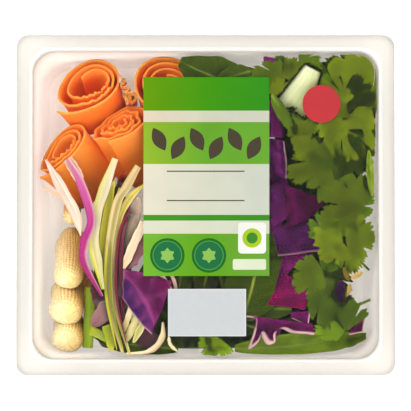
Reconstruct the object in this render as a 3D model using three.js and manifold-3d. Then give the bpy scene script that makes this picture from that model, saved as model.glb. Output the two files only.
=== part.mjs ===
// A chilled tray of prepared stir-fry vegetables, sealed with a clear film that carries printed labels.
// Millimetres, +Z up, origin on the floor under the middle of the tray.
// +X runs to the right and +Y away from a person reading the label.
import * as THREE from "three";
import Module from "manifold-3d";

const wasm = await Module();
wasm.setup();

// ---------------------------------------------------------------- driving dimensions
const TRAY_LENGTH = 220;
const TRAY_WIDTH = 198;
const TRAY_HEIGHT = 47.4;
const WALL = 0.8;
const FLANGE_WIDTH = 7.6;
const FLANGE_CORNER_RADIUS = 7;
const CORNER_GROWTH = 0.6; // extra corner radius for each millimetre inside the flange's edge
const TOUCH_GAP = 0.1; // between flat faces that lie on each other
const PIECE_GAP = 0.3; // between neighbouring pieces of food
const PRESSED = 0.7; // how far the pieces of one heap are pressed into each other
const CLEARANCE = 0.7; // between a piece and what it lies on, at the pile's coarse grid
const FILM_THICKNESS = 0.3;
const LABEL_THICKNESS = 0.2;

const FILM_BOTTOM = TRAY_HEIGHT + TOUCH_GAP;
const LABEL_BOTTOM = FILM_BOTTOM + FILM_THICKNESS + TOUCH_GAP;
const FOOD_CEILING = TRAY_HEIGHT - 0.5;
const FOOD_FLOOR = 2.4;

const LABEL = { x: 0.4, y: 16.5, length: 73, width: 115.4 };
const DATE_LABEL = { x: 0.8, y: -62.4, length: 45.2, width: 27.4 };
const STICKER = { x: 67.2, y: 58.6, radius: 11 };

const CARROT_THICKNESS = 1.3;
const SHRED_THICKNESS = 1.2;
const CABBAGE_THICKNESS = 1.1;
const LEAF_THICKNESS = 0.7;

// ---------------------------------------------------------------- closed meshes
function meshData(points, faces) {
  const positions = new Float32Array(points.length * 3);
  points.forEach((point, i) => point.toArray(positions, i * 3));
  return { positions, faces: new Uint32Array(faces) };
}

function toSolid({ positions, faces }) {
  return new wasm.Manifold(
    new wasm.Mesh({ numProp: 3, vertProperties: positions, triVerts: faces }),
  );
}

function toMeshData(solid) {
  const mesh = solid.getMesh();
  return { positions: mesh.vertProperties, faces: mesh.triVerts };
}

// A skin through rings of equal size, each counter-clockwise about the way the rings go.
function loft(rings) {
  const count = rings[0].length;
  const points = rings.flat();
  const faces = [];
  for (let ring = 0; ring + 1 < rings.length; ring++) {
    for (let i = 0; i < count; i++) {
      const near = ring * count + i;
      const next = ring * count + ((i + 1) % count);
      faces.push(near, next, next + count, near, next + count, near + count);
    }
  }
  const last = (rings.length - 1) * count;
  for (let i = 1; i + 1 < count; i++) {
    faces.push(0, i + 1, i, last, last + i, last + i + 1);
  }
  return meshData(points, faces);
}

// Both faces and the edge of a thin skin, given its middle surface as points, triangles and outline.
function thicken(points, triangles, outline, thickness) {
  const normals = points.map(() => new THREE.Vector3());
  for (let i = 0; i < triangles.length; i += 3) {
    const [a, b, c] = triangles.slice(i, i + 3);
    const across = points[b].clone().sub(points[a]);
    const normal = across.cross(points[c].clone().sub(points[a]));
    [a, b, c].forEach((corner) => normals[corner].add(normal));
  }
  const offset = (side) =>
    points.map((point, i) =>
      point.clone().addScaledVector(normals[i].clone().normalize(), (side * thickness) / 2),
    );
  const count = points.length;
  const faces = [...triangles];
  for (let i = 0; i < triangles.length; i += 3) {
    const [a, b, c] = triangles.slice(i, i + 3);
    faces.push(a + count, c + count, b + count);
  }
  outline.forEach((from, i) => {
    const to = outline[(i + 1) % outline.length];
    faces.push(to, from, from + count, to, from + count, to + count);
  });
  return meshData([...offset(1), ...offset(-1)], faces);
}

// A thin skin over a grid: pointAt(u, v) gives its middle surface for u and v from 0 to 1.
function sheet(columns, rows, thickness, pointAt) {
  const points = [];
  for (let i = 0; i <= columns; i++) {
    for (let j = 0; j <= rows; j++) points.push(pointAt(i / columns, j / rows));
  }
  const id = (i, j) => i * (rows + 1) + j;
  const triangles = [];
  for (let i = 0; i < columns; i++) {
    for (let j = 0; j < rows; j++) {
      triangles.push(id(i, j), id(i + 1, j), id(i + 1, j + 1));
      triangles.push(id(i, j), id(i + 1, j + 1), id(i, j + 1));
    }
  }
  const outline = [];
  for (let i = 0; i < columns; i++) outline.push(id(i, 0));
  for (let j = 0; j < rows; j++) outline.push(id(columns, j));
  for (let i = columns; i > 0; i--) outline.push(id(i, rows));
  for (let j = rows; j > 0; j--) outline.push(id(0, j));
  return thicken(points, triangles, outline, thickness);
}

// A thin skin that fans out from one point: pointAt(u, v) with u along the edge and v from the point out.
function fan(rays, rings, thickness, pointAt) {
  const points = [pointAt(0.5, 0)];
  for (let i = 0; i <= rays; i++) {
    for (let j = 1; j <= rings; j++) points.push(pointAt(i / rays, j / rings));
  }
  const id = (i, j) => 1 + i * rings + (j - 1);
  const triangles = [];
  for (let i = 0; i < rays; i++) {
    triangles.push(0, id(i, 1), id(i + 1, 1));
    for (let j = 1; j < rings; j++) {
      triangles.push(id(i, j), id(i, j + 1), id(i + 1, j + 1));
      triangles.push(id(i, j), id(i + 1, j + 1), id(i + 1, j));
    }
  }
  const outline = [0];
  for (let j = 1; j <= rings; j++) outline.push(id(0, j));
  for (let i = 1; i <= rays; i++) outline.push(id(i, rings));
  for (let j = rings - 1; j > 0; j--) outline.push(id(rays, j));
  return thicken(points, triangles, outline, thickness);
}

// A tapering rod through a list of points.
function rod(points, startRadius, endRadius, sides = 5) {
  const rings = points.map((point, i) => {
    const ahead = points[Math.min(i + 1, points.length - 1)].clone();
    const along = ahead.sub(points[Math.max(i - 1, 0)]).normalize();
    const side = new THREE.Vector3(0.3, 0.2, 1).cross(along).normalize();
    const up = along.clone().cross(side);
    const radius = THREE.MathUtils.lerp(startRadius, endRadius, i / (points.length - 1));
    return Array.from({ length: sides }, (_, k) => {
      const angle = (2 * Math.PI * k) / sides;
      return point
        .clone()
        .addScaledVector(side, radius * Math.cos(angle))
        .addScaledVector(up, radius * Math.sin(angle));
    });
  });
  return loft(rings);
}

// A repeatable stream of numbers from 0 to 1.
function randomFrom(seed) {
  let state = seed;
  return () => {
    state = (state * 1664525 + 1013904223) % 4294967296;
    return state / 4294967296;
  };
}

// ---------------------------------------------------------------- the pile
// The height of the food so far, on a square grid, so that each new piece lies on what is below it.
const CELL = 1.5;
const GRID_X = Math.ceil(TRAY_LENGTH / CELL) + 1;
const GRID_Y = Math.ceil(TRAY_WIDTH / CELL) + 1;
const pile = new Float32Array(GRID_X * GRID_Y).fill(FOOD_FLOOR);
const topPiece = new Array(GRID_X * GRID_Y).fill("tray"); // whose surface each cell's height is
const columnOf = (x) => (x + TRAY_LENGTH / 2) / CELL;
const rowOf = (y) => (y + TRAY_WIDTH / 2) / CELL;

function stamp({ positions, faces }, owner) {
  const corner = (k) => [
    columnOf(positions[k * 3]),
    rowOf(positions[k * 3 + 1]),
    positions[k * 3 + 2],
  ];
  for (let f = 0; f < faces.length; f += 3) {
    const [a, b, c] = [corner(faces[f]), corner(faces[f + 1]), corner(faces[f + 2])];
    const area = (b[0] - a[0]) * (c[1] - a[1]) - (c[0] - a[0]) * (b[1] - a[1]);
    if (area < 1e-6) continue;
    const left = Math.max(0, Math.ceil(Math.min(a[0], b[0], c[0])));
    const right = Math.min(GRID_X - 1, Math.floor(Math.max(a[0], b[0], c[0])));
    const low = Math.max(0, Math.ceil(Math.min(a[1], b[1], c[1])));
    const high = Math.min(GRID_Y - 1, Math.floor(Math.max(a[1], b[1], c[1])));
    for (let i = left; i <= right; i++) {
      for (let j = low; j <= high; j++) {
        const shareB = ((i - a[0]) * (c[1] - a[1]) - (c[0] - a[0]) * (j - a[1])) / area;
        const shareC = ((b[0] - a[0]) * (j - a[1]) - (i - a[0]) * (b[1] - a[1])) / area;
        if (shareB < 0 || shareC < 0 || shareB + shareC > 1) continue;
        const height = a[2] + shareB * (b[2] - a[2]) + shareC * (c[2] - a[2]);
        if (height <= pile[i * GRID_Y + j]) continue;
        pile[i * GRID_Y + j] = height;
        topPiece[i * GRID_Y + j] = owner;
      }
    }
  }
}

// Each cell of a height map averaged with its neighbours.
function softened(source) {
  return source.map((height, k) => {
    const i = Math.floor(k / GRID_Y);
    const j = k % GRID_Y;
    if (i === 0 || j === 0 || i === GRID_X - 1 || j === GRID_Y - 1) return height;
    const around = source[k - 1] + source[k + 1] + source[k - GRID_Y] + source[k + GRID_Y];
    return (2 * height + around) / 6;
  });
}

// The height at which a piece lies on the pile: pressed into the heap it is part of, and clear of all
// else. It bridges hollows: away from what carries it, it sags by the distance squared times sag.
function layOver(sag, heap) {
  const reach = 14; // cells
  const spread = (source, step, size) => {
    const result = new Float32Array(source.length);
    for (let k = 0; k < source.length; k++) {
      const place = step === 1 ? k % GRID_Y : Math.floor(k / GRID_Y);
      let best = -Infinity;
      for (let d = -reach; d <= reach; d++) {
        if (place + d < 0 || place + d >= size) continue;
        best = Math.max(best, source[k + d * step] - sag * (d * CELL) ** 2);
      }
      result[k] = best;
    }
    return result;
  };
  const support = pile.map((height, k) => height + (topPiece[k] === heap ? -PRESSED : CLEARANCE));
  let cover = spread(spread(support, 1, GRID_Y), GRID_Y, GRID_X);
  for (let pass = 0; pass < 3; pass++) cover = softened(cover);
  return (x, y) => {
    const column = THREE.MathUtils.clamp(columnOf(x), 0, GRID_X - 1.001);
    const row = THREE.MathUtils.clamp(rowOf(y), 0, GRID_Y - 1.001);
    const i = Math.floor(column);
    const j = Math.floor(row);
    const alongX = column - i;
    const alongY = row - j;
    const at = (di, dj) => cover[(i + di) * GRID_Y + j + dj];
    const near = at(0, 0) * (1 - alongX) + at(1, 0) * alongX;
    const far = at(0, 1) * (1 - alongX) + at(1, 1) * alongX;
    return near * (1 - alongY) + far * alongY;
  };
}

const underFilm = (height) => Math.min(height, FOOD_CEILING);

// ---------------------------------------------------------------- the pack
// A rectangle with round corners, inset from the flange's edge.
function packOutline(inset, z) {
  const halfX = TRAY_LENGTH / 2 - inset;
  const halfY = TRAY_WIDTH / 2 - inset;
  const radius = FLANGE_CORNER_RADIUS + CORNER_GROWTH * inset;
  const steps = 4;
  const points = [];
  for (let corner = 0; corner < 4; corner++) {
    const centreX = (corner === 0 || corner === 3 ? 1 : -1) * (halfX - radius);
    const centreY = (corner < 2 ? 1 : -1) * (halfY - radius);
    for (let i = 0; i <= steps; i++) {
      const angle = (corner + i / steps) * (Math.PI / 2);
      points.push(
        new THREE.Vector3(
          centreX + radius * Math.cos(angle),
          centreY + radius * Math.sin(angle),
          z,
        ),
      );
    }
  }
  return points;
}

// The thermoformed tray: a flat foot, a raised groove in the base, drafted walls, a fine step under the
// sealing flange, and the flange's turned-down lip. The rings run from the base out, up and back inside.
const WALL_TOP_INSET = FLANGE_WIDTH + 2.4;
const WALL_FOOT_INSET = 15.2;
const GROOVE_INSET = 40;
const GROOVE_HEIGHT = 1.2;
const LIP_DEPTH = 3.2;

function tray() {
  const top = TRAY_HEIGHT;
  const rings = [
    [GROOVE_INSET + 6, 0],
    [GROOVE_INSET + 4, GROOVE_HEIGHT],
    [GROOVE_INSET - 2, GROOVE_HEIGHT],
    [GROOVE_INSET - 4, 0],
    [WALL_FOOT_INSET + 2.3, 0],
    [WALL_FOOT_INSET - WALL, 3],
    [WALL_TOP_INSET - WALL, top - 2],
    [FLANGE_WIDTH + 0.2, top - WALL],
    [1.2, top - WALL],
    [WALL, top - LIP_DEPTH],
    [0, top - LIP_DEPTH],
    [0, top - 0.5],
    [0.5, top],
    [FLANGE_WIDTH, top],
    [FLANGE_WIDTH + 0.7, top - 1],
    [FLANGE_WIDTH + 1.8, top - 1.1],
    [WALL_TOP_INSET, top - 2.1],
    [WALL_FOOT_INSET, 3.4],
    [WALL_FOOT_INSET + 2.8, WALL],
    [GROOVE_INSET - 4.4, WALL],
    [GROOVE_INSET - 2.4, GROOVE_HEIGHT + WALL],
    [GROOVE_INSET + 4.4, GROOVE_HEIGHT + WALL],
    [GROOVE_INSET + 6.4, WALL],
  ];
  return toSolid(loft(rings.map(([inset, z]) => packOutline(inset, z))));
}

// The space that the food may fill.
function trayInside() {
  const rings = [
    [WALL_FOOT_INSET + 3.2, FOOD_FLOOR - 0.1],
    [WALL_FOOT_INSET + 0.4, 4],
    [WALL_TOP_INSET + 0.4, TRAY_HEIGHT - 2],
    [WALL_TOP_INSET + 0.4, TRAY_HEIGHT - 0.2],
  ];
  return toSolid(loft(rings.map(([inset, z]) => packOutline(inset, z))));
}

function film() {
  const rings = [0, FILM_THICKNESS].map((z) => packOutline(0, FILM_BOTTOM + z));
  return toSolid(loft(rings));
}

// A flat shape lying on the film.
function onFilm(shape) {
  const geometry = new THREE.ExtrudeGeometry(shape, {
    depth: LABEL_THICKNESS,
    bevelEnabled: false,
    curveSegments: 16,
  });
  geometry.translate(0, 0, LABEL_BOTTOM);
  return geometry;
}

function rectangleOnFilm({ x, y, length, width }) {
  const shape = new THREE.Shape();
  shape.moveTo(x - length / 2, y - width / 2);
  shape.lineTo(x + length / 2, y - width / 2);
  shape.lineTo(x + length / 2, y + width / 2);
  shape.lineTo(x - length / 2, y + width / 2);
  return onFilm(shape);
}

function discOnFilm({ x, y, radius }) {
  return onFilm(new THREE.Shape().absarc(x, y, radius, 0, 2 * Math.PI));
}

// Each maker of food below takes a grow: how much larger than the piece its mesh is all round. A grown
// mesh is the room that the neighbouring heaps leave for the piece.

// ---------------------------------------------------------------- carrot
// A wide ribbon of carrot rolled up like a rose, leaning with its open end up. The rim's middle is at
// (x, y), lean is the heading that its open end leans to, and the roll is wider than it is deep.
function carrotRoll({
  x, y, lean, tilt, halfWidth, halfDepth, length, turns, core = 0.32, taper = 0.22,
  start = 0, grow = 0,
}) {
  const heading = THREE.MathUtils.degToRad(lean);
  const slope = THREE.MathUtils.degToRad(tilt);
  const axis = new THREE.Vector3(
    Math.sin(slope) * Math.cos(heading),
    Math.sin(slope) * Math.sin(heading),
    Math.cos(slope),
  );
  const wide = new THREE.Vector3(-Math.sin(heading), Math.cos(heading), 0);
  const deep = axis.clone().cross(wide);
  const first = THREE.MathUtils.degToRad(start);
  const pointAt = (t, w) => {
    const angle = first + 2 * Math.PI * turns * t;
    const wobble = 1 + 0.03 * Math.sin(3 * angle + first);
    const radius = (1 - (1 - core) * t) * (1 - taper * (1 - w)) * wobble;
    return new THREE.Vector3(x, y, 0)
      .addScaledVector(axis, -length * (1 - w) + 0.8 * Math.sin(2 * angle) * w)
      .addScaledVector(wide, (halfWidth + grow) * radius * Math.cos(angle))
      .addScaledVector(deep, (halfDepth + grow) * radius * Math.sin(angle));
  };
  const mesh = sheet(Math.round(turns * 14), 1, CARROT_THICKNESS + grow, pointAt);
  let lowest = Infinity;
  for (let i = 2; i < mesh.positions.length; i += 3) {
    lowest = Math.min(lowest, mesh.positions[i]);
  }
  for (let i = 2; i < mesh.positions.length; i += 3) {
    mesh.positions[i] += FOOD_FLOOR + PIECE_GAP - lowest;
  }
  return mesh;
}

const CARROT_ROLLS = {
  carrot_roll_1: {
    x: -70.2, y: 67.4, lean: 118, tilt: 42, halfWidth: 20.4, halfDepth: 16,
    length: 30, turns: 2.6, start: 200,
  },
  carrot_roll_2: {
    x: -22.8, y: 70, lean: 80, tilt: 20, halfWidth: 18.4, halfDepth: 16.4,
    length: 34, turns: 2.7, start: 250, taper: 0.3,
  },
  carrot_roll_3: {
    x: -49.6, y: 42.6, lean: 110, tilt: 54, halfWidth: 16, halfDepth: 9,
    length: 34, turns: 2.3, start: 180, core: 0.3,
  },
  carrot_roll_4: {
    x: -83.4, y: 31, lean: 140, tilt: 50, halfWidth: 19, halfDepth: 11.6,
    length: 36, turns: 2.3, start: 215,
  },
  carrot_curl: {
    x: -43.8, y: 63, lean: 90, tilt: 5, halfWidth: 3.4, halfDepth: 2.8,
    length: 38, turns: 1.15, start: 200, core: 0.55,
  },
};

// ---------------------------------------------------------------- baby corn
// A cob as a body of revolution between two points, with rows of kernels as relief and a rounded top.
function cornCob({ from, to, radius, kernels = 11, steps = 8, tip = 0.35, grow = 0 }) {
  const start = new THREE.Vector3(...from);
  const end = new THREE.Vector3(...to);
  const along = end.clone().sub(start);
  const side = new THREE.Vector3(1, 0, 0);
  const up = along.clone().cross(side).normalize();
  side.copy(up).cross(along).normalize();
  const rings = [];
  for (let k = 0; k <= steps; k++) {
    const s = k / steps;
    const shoulder = Math.sqrt(Math.max(0, 1 - Math.max(0, (s - 0.55) / 0.45) ** 2.4));
    const foot = 0.82 + 0.18 * Math.min(1, s / 0.2);
    const profile = radius * Math.max(tip * 0.5, shoulder * foot);
    const ring = [];
    for (let i = 0; i < kernels; i++) {
      const angle = (2 * Math.PI * i) / kernels;
      const relief = 1 + 0.045 * ((i + k) % 2 ? 1 : -1);
      ring.push(
        start
          .clone()
          .addScaledVector(along, s)
          .addScaledVector(side, (profile + grow) * relief * Math.cos(angle))
          .addScaledVector(up, (profile + grow) * relief * Math.sin(angle)),
      );
    }
    rings.push(ring);
  }
  return loft(rings);
}

const CORN_COBS = {
  corn_cob_1: { from: [-79.4, -17.5, 8.6], to: [-80.6, -44, 39], radius: 8.7 },
  corn_cob_2: { from: [-81.2, -50, 10], to: [-81.8, -61, 41], radius: 9.5 },
  corn_cob_3: { from: [-80.2, -71, 10], to: [-81.6, -77.6, 34], radius: 8.5 },
  corn_stub: { from: [-68.2, -38, 8.5], to: [-67, -60.5, 17.5], radius: 4, kernels: 8, steps: 6 },
  corn_tip: { from: [-79.6, 0.5, 7.5], to: [-78.6, -8, 34], radius: 5.2, kernels: 8, steps: 6 },
};

// ---------------------------------------------------------------- stalks
// A length of stalk between cut ends: a rounded section, flat or hollowed on its upper side.
function stalk({ from, to, width, depth, flare = 1, hollow = 0, bow = 0, grow = 0 }) {
  const start = new THREE.Vector3(...from);
  const end = new THREE.Vector3(...to);
  const along = end.clone().sub(start);
  const across = new THREE.Vector3(0, 0, 1).cross(along).normalize();
  const up = along.clone().cross(across).normalize();
  const sides = 10;
  const steps = 4;
  const rings = [];
  for (let k = 0; k <= steps; k++) {
    const s = k / steps;
    const middle = start.clone().addScaledVector(along, s);
    middle.addScaledVector(up, bow * Math.sin(Math.PI * s));
    const scale = THREE.MathUtils.lerp(1, flare, s);
    rings.push(
      Array.from({ length: sides }, (_, i) => {
        const angle = (2 * Math.PI * i) / sides;
        const reach = Math.cos(angle);
        const rise = Math.sin(angle) - (hollow * (1 - reach * reach) * (Math.sin(angle) > 0 ? 1 : 0.3));
        return middle
          .clone()
          .addScaledVector(across, (scale * width * reach) / 2 + grow * reach)
          .addScaledVector(up, (depth * rise) / 2 + grow * Math.sin(angle));
      }),
    );
  }
  return loft(rings);
}

const GREEN_STALK = { from: [-67.8, -48, 29], to: [-69.8, -83.4, 27], width: 5.6, depth: 3.4 };
const PAK_CHOI_STALK = {
  from: [62.6, 79.6, 42.2], to: [50.4, 55.6, 35.4], width: 10.6, depth: 6.4, flare: 1.35,
  hollow: 0.35, bow: 1.4,
};

// ---------------------------------------------------------------- red cabbage
// A cut piece of cabbage leaf over four corners in plan, given round the piece. A ridge runs from one
// point to another of the piece, in shares of its two sides, and the edge may be frilled.
function cabbagePiece({
  corners, ridge = [0, 0.5, 1, 0.5], ridgeHeight = 3, ridgeWidth = 0.25,
  frills = 0, frillHeight = 0, slope = 0, bulge = 0, sag = 0.012, columns = 7, rows = 3, grow = 0,
}) {
  const [a, b, c, d] = corners.map(([x, y]) => new THREE.Vector2(x, y));
  const rest = layOver(sag);
  const [startU, startV, endU, endV] = ridge;
  const ridgeLine = new THREE.Line3(
    new THREE.Vector3(startU, startV, 0),
    new THREE.Vector3(endU, endV, 0),
  );
  const closest = new THREE.Vector3();
  const beyondEdge = (share) => (share === 0 ? -grow / 20 : 0) + (share === 1 ? grow / 20 : 0);
  return sheet(columns, rows, CABBAGE_THICKNESS + 2 * grow, (s, t) => {
    const u = s + beyondEdge(s);
    const v = t + beyondEdge(t);
    const place = a.clone().lerp(b, u).lerp(d.clone().lerp(c, u), v);
    const out = bulge * Math.sin(Math.PI * u) * (2 * v - 1);
    place.add(d.clone().sub(a).normalize().multiplyScalar(out));
    const spot = new THREE.Vector3(u, v, 0);
    const away = ridgeLine.closestPointToPoint(spot, true, closest).distanceTo(spot);
    const crest = ridgeHeight * Math.exp(-((away / ridgeWidth) ** 2));
    const frill = frillHeight * v * v * (1 + Math.sin(2 * Math.PI * frills * u)) * 0.5;
    const z = rest(place.x, place.y) + CABBAGE_THICKNESS / 2;
    return new THREE.Vector3(place.x, place.y, underFilm(z + crest + frill + slope * v));
  });
}

const CABBAGE_PIECES = {
  cabbage_low_strip: {
    corners: [[45, -28], [62, -28], [51, -35], [40, -50]], ridgeHeight: 1.5, columns: 4, rows: 4,
  },
  cabbage_band: {
    corners: [[43, -15], [66, -7], [67, -27], [45, -29]], ridge: [0, 0.2, 1, 0.1], ridgeHeight: 2,
  },
  cabbage_tall_leaf: {
    corners: [[31, 38], [46, 37.5], [49, -6], [31, -18]], ridge: [0.75, 0, 0.9, 1], ridgeHeight: 4,
    bulge: 1,
  },
  cabbage_upper_strip: {
    corners: [[31, 61], [40.5, 61], [45, 39.5], [31, 39.5]], ridge: [0.6, 0, 0.6, 1], ridgeHeight: 2.5,
    columns: 4, rows: 4,
  },
  cabbage_fold: {
    corners: [[46, 12], [70, 2.5], [60, -8.5], [47, -13]], ridge: [0.1, 0, 0.5, 1], ridgeHeight: 5,
    ridgeWidth: 0.3,
  },
  cabbage_square: {
    corners: [[45, -40], [62, -47], [57, -61], [36, -57.5]], ridge: [0.1, 0.7, 1, 0.3], ridgeHeight: 3,
  },
  cabbage_small: {
    corners: [[48.5, -62], [61, -62], [59.5, -70], [50, -66]], ridge: [0, 1, 1, 1], ridgeHeight: 2,
    columns: 4, rows: 2,
  },
  cabbage_ruffle: {
    corners: [[24, -64], [62, -69], [63, -76], [25, -81.5]], frills: 3.2, frillHeight: 6, slope: 2,
    ridge: [0, 0, 1, 0.2], ridgeHeight: 2,
  },
  cabbage_corner: {
    corners: [[84, -66], [93, -63.5], [92, -74], [83.5, -75]], ridge: [1, 0, 0, 1], ridgeHeight: 4,
    columns: 4, rows: 4,
  },
  cabbage_top_bit: {
    corners: [[33.5, 87], [41, 85.5], [40.5, 82], [34, 82.5]], ridgeHeight: 1, columns: 3, rows: 2,
  },
  cabbage_big: {
    corners: [[-42, -34], [-19, -43], [-30, -75], [-49.5, -54.5]], ridge: [0.1, 0.45, 0.85, 1],
    ridgeHeight: 5, ridgeWidth: 0.22, slope: 1,
  },
};

// ---------------------------------------------------------------- smooth leaves
// A young spinach or pak choi leaf from its base at (x, y) to its tip, cupped about a sunken midrib.
function smoothLeaf({
  x, y, heading, length, width, cup = 2, droop = 0.01, wave = 0.8, grow = 0,
}) {
  const angle = THREE.MathUtils.degToRad(heading);
  const along = new THREE.Vector2(Math.cos(angle), Math.sin(angle));
  const across = new THREE.Vector2(-along.y, along.x);
  const rest = layOver(droop);
  const blade = sheet(6, 4, LEAF_THICKNESS + 2 * grow, (u, v) => {
    const half = grow + (width / 2) * (0.1 + 0.9 * Math.sin(Math.PI * (0.06 + 0.88 * u ** 0.85)) ** 0.8);
    const side = (2 * v - 1) * half;
    const forward = length * u + grow * (2 * u - 1);
    const px = x + along.x * forward + across.x * side;
    const py = y + along.y * forward + across.y * side;
    const relief = cup * (2 * v - 1) ** 2 + wave * (1 + Math.sin(9 * u + 4 * v));
    return new THREE.Vector3(px, py, underFilm(rest(px, py) + relief));
  });
  return [blade, leafStalk(x, y, along, underFilm(rest(x, y) + wave), 1.3 + grow)];
}

// The stalk of a leaf, from under its blade back and down into the heap.
const STALK_FOOT = 21;
function leafStalk(x, y, along, top, radius) {
  const points = [3, 0, -2.5, -4.5].map((forward, i) => {
    const z = THREE.MathUtils.lerp(top, STALK_FOOT, (i / 3) ** 2);
    return new THREE.Vector3(x + along.x * forward, y + along.y * forward, z);
  });
  return rod(points, 0.8 * radius, radius, 4);
}

const SMOOTH_LEAVES = [
  { x: 4, y: 6, heading: 100, length: 50, width: 30 },
  { x: -6, y: -6, heading: 250, length: 44, width: 30 },
  { x: -10, y: -83, heading: 170, length: 54, width: 19, cup: 1 },
  { x: 18, y: -80.5, heading: 1, length: 76, width: 15, cup: 3 },
  { x: 30, y: -72, heading: 158, length: 36, width: 20 },
  { x: -2, y: -40, heading: 200, length: 34, width: 22 },
  { x: 38, y: -60, heading: 178, length: 40, width: 22 },
  { x: 20, y: -66, heading: 66, length: 58, width: 33 },
  { x: 20, y: 64, heading: 166, length: 38, width: 26 },
  { x: 26, y: 75, heading: 180, length: 32, width: 18 },
];

// ---------------------------------------------------------------- coriander
// A coriander leaf from the top of its stalk at (x, y): three main lobes, each cut into smaller ones
// with a deep notch between. fold lifts the two sides about the midrib.
const LEAF_SPREAD = THREE.MathUtils.degToRad(117);
const LEAF_RAYS = 12;
const LOBE_STEP = (2 * LEAF_SPREAD) / LEAF_RAYS; // the small lobes are two steps apart

function corianderOutline(angle) {
  const share = Math.abs(angle) / LEAF_SPREAD;
  const envelope = 1 - 0.36 * share ** 1.5;
  const smallLobe = 1 - 0.13 * (1 - Math.abs(Math.cos((Math.PI * angle) / (2 * LOBE_STEP))));
  const notch = 1 - 0.34 * Math.exp(-(((Math.abs(angle) - 3 * LOBE_STEP) / (0.7 * LOBE_STEP)) ** 2));
  const foot = share > 0.94 ? 0.5 : 1;
  return envelope * smallLobe * notch * foot;
}

function corianderLeaf({
  x, y, heading, length, width = 0.7, cup = 1.6, fold = 0, droop = 0.01, grow = 0,
}) {
  const angle = THREE.MathUtils.degToRad(heading);
  const along = new THREE.Vector2(Math.cos(angle), Math.sin(angle));
  const across = new THREE.Vector2(-along.y, along.x);
  const rest = layOver(droop);
  const rings = length > 20 ? 2 : 1;
  const blade = fan(LEAF_RAYS, rings, LEAF_THICKNESS + 2 * grow, (u, v) => {
    const ray = (2 * u - 1) * LEAF_SPREAD;
    const reach = v * (length * corianderOutline(ray) + grow);
    const forward = reach * Math.cos(ray);
    const side = reach * Math.sin(ray) * width;
    const px = x + along.x * forward + across.x * side;
    const py = y + along.y * forward + across.y * side;
    const relief = cup * (1 + Math.cos(3 * ray)) * v * v * 0.5 + fold * Math.abs(side);
    return new THREE.Vector3(px, py, underFilm(rest(px, py) + LEAF_THICKNESS / 2 + relief));
  });
  return [blade, leafStalk(x, y, along, underFilm(rest(x, y) + 0.3), 0.8 + grow)];
}

const CORIANDER_LEAVES = [
  { x: 84, y: 78, heading: 150, length: 16, width: 0.9 },
  { x: 74, y: 62, heading: 122, length: 22, width: 0.8 },
  { x: 47, y: 73, heading: 72, length: 14, width: 0.8 },
  { x: 54, y: 82, heading: 12, length: 15, width: 0.7 },
  { x: 44, y: 74, heading: 163, length: 19, width: 0.6 },
  { x: 42, y: 63, heading: 84, length: 12 },
  { x: 92, y: 22, heading: 78, length: 24, width: 0.5 },
  { x: 54, y: 35, heading: 92, length: 14, width: 0.9 },
  { x: 53, y: 38, heading: 290, length: 13 },
  { x: 93, y: 54, heading: 108, length: 34, width: 0.62, fold: 0.3 },
  { x: 83, y: 54, heading: 340, length: 18, width: 0.75 },
  { x: 80, y: 55, heading: 226, length: 22, width: 0.65 },
  { x: 79, y: 23, heading: 152, length: 20, width: 0.7 },
  { x: 68, y: 5, heading: 150, length: 27, width: 0.75 },
  { x: 82, y: 57, heading: 276, length: 36, width: 0.6 },
  { x: 80, y: -18, heading: 318, length: 24, width: 0.8 },
  { x: 81, y: -28, heading: 200, length: 19, width: 0.8 },
  { x: 81, y: -13, heading: 196, length: 20, width: 0.7 },
  { x: 87, y: -5, heading: 182, length: 23, width: 0.7 },
  { x: 80, y: -16, heading: 22, length: 22, width: 0.85 },
  { x: 84, y: -6, heading: 96, length: 25, width: 0.95 },
  { x: 79, y: -66, heading: 40, length: 18, width: 0.8 },
  { x: 67, y: -43, heading: 165, length: 22, width: 0.75 },
  { x: 79, y: -74, heading: 160, length: 17, width: 0.6 },
  { x: 70, y: -42, heading: 280, length: 33, width: 0.62 },
];
const LONE_CORIANDER_LEAF = { x: 8, y: -77, heading: 238, length: 16, width: 0.9 };

// ---------------------------------------------------------------- onion and leek shreds
// A cut strip that follows a few points in plan, lies on the pile and comes to a point or a square end.
function shred({ path, width, tip = 0.3, sag = 0.03, segments = 7, grow = 0 }) {
  const curve = new THREE.SplineCurve(path.map(([x, y]) => new THREE.Vector2(x, y)));
  const rest = layOver(sag, "shred_bundle");
  return [sheet(segments, 1, SHRED_THICKNESS + 2 * grow, (s, t) => {
    const point = curve.getPoint(s);
    const along = curve.getTangent(s);
    const half = grow + (width / 2) * Math.min(1, tip + (1 - tip) * 4 * s);
    const side = (2 * t - 1) * half;
    const x = point.x - along.y * side;
    const y = point.y + along.x * side;
    const z = rest(point.x, point.y) + SHRED_THICKNESS / 2;
    return new THREE.Vector3(x, y, underFilm(z));
  })];
}

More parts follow.
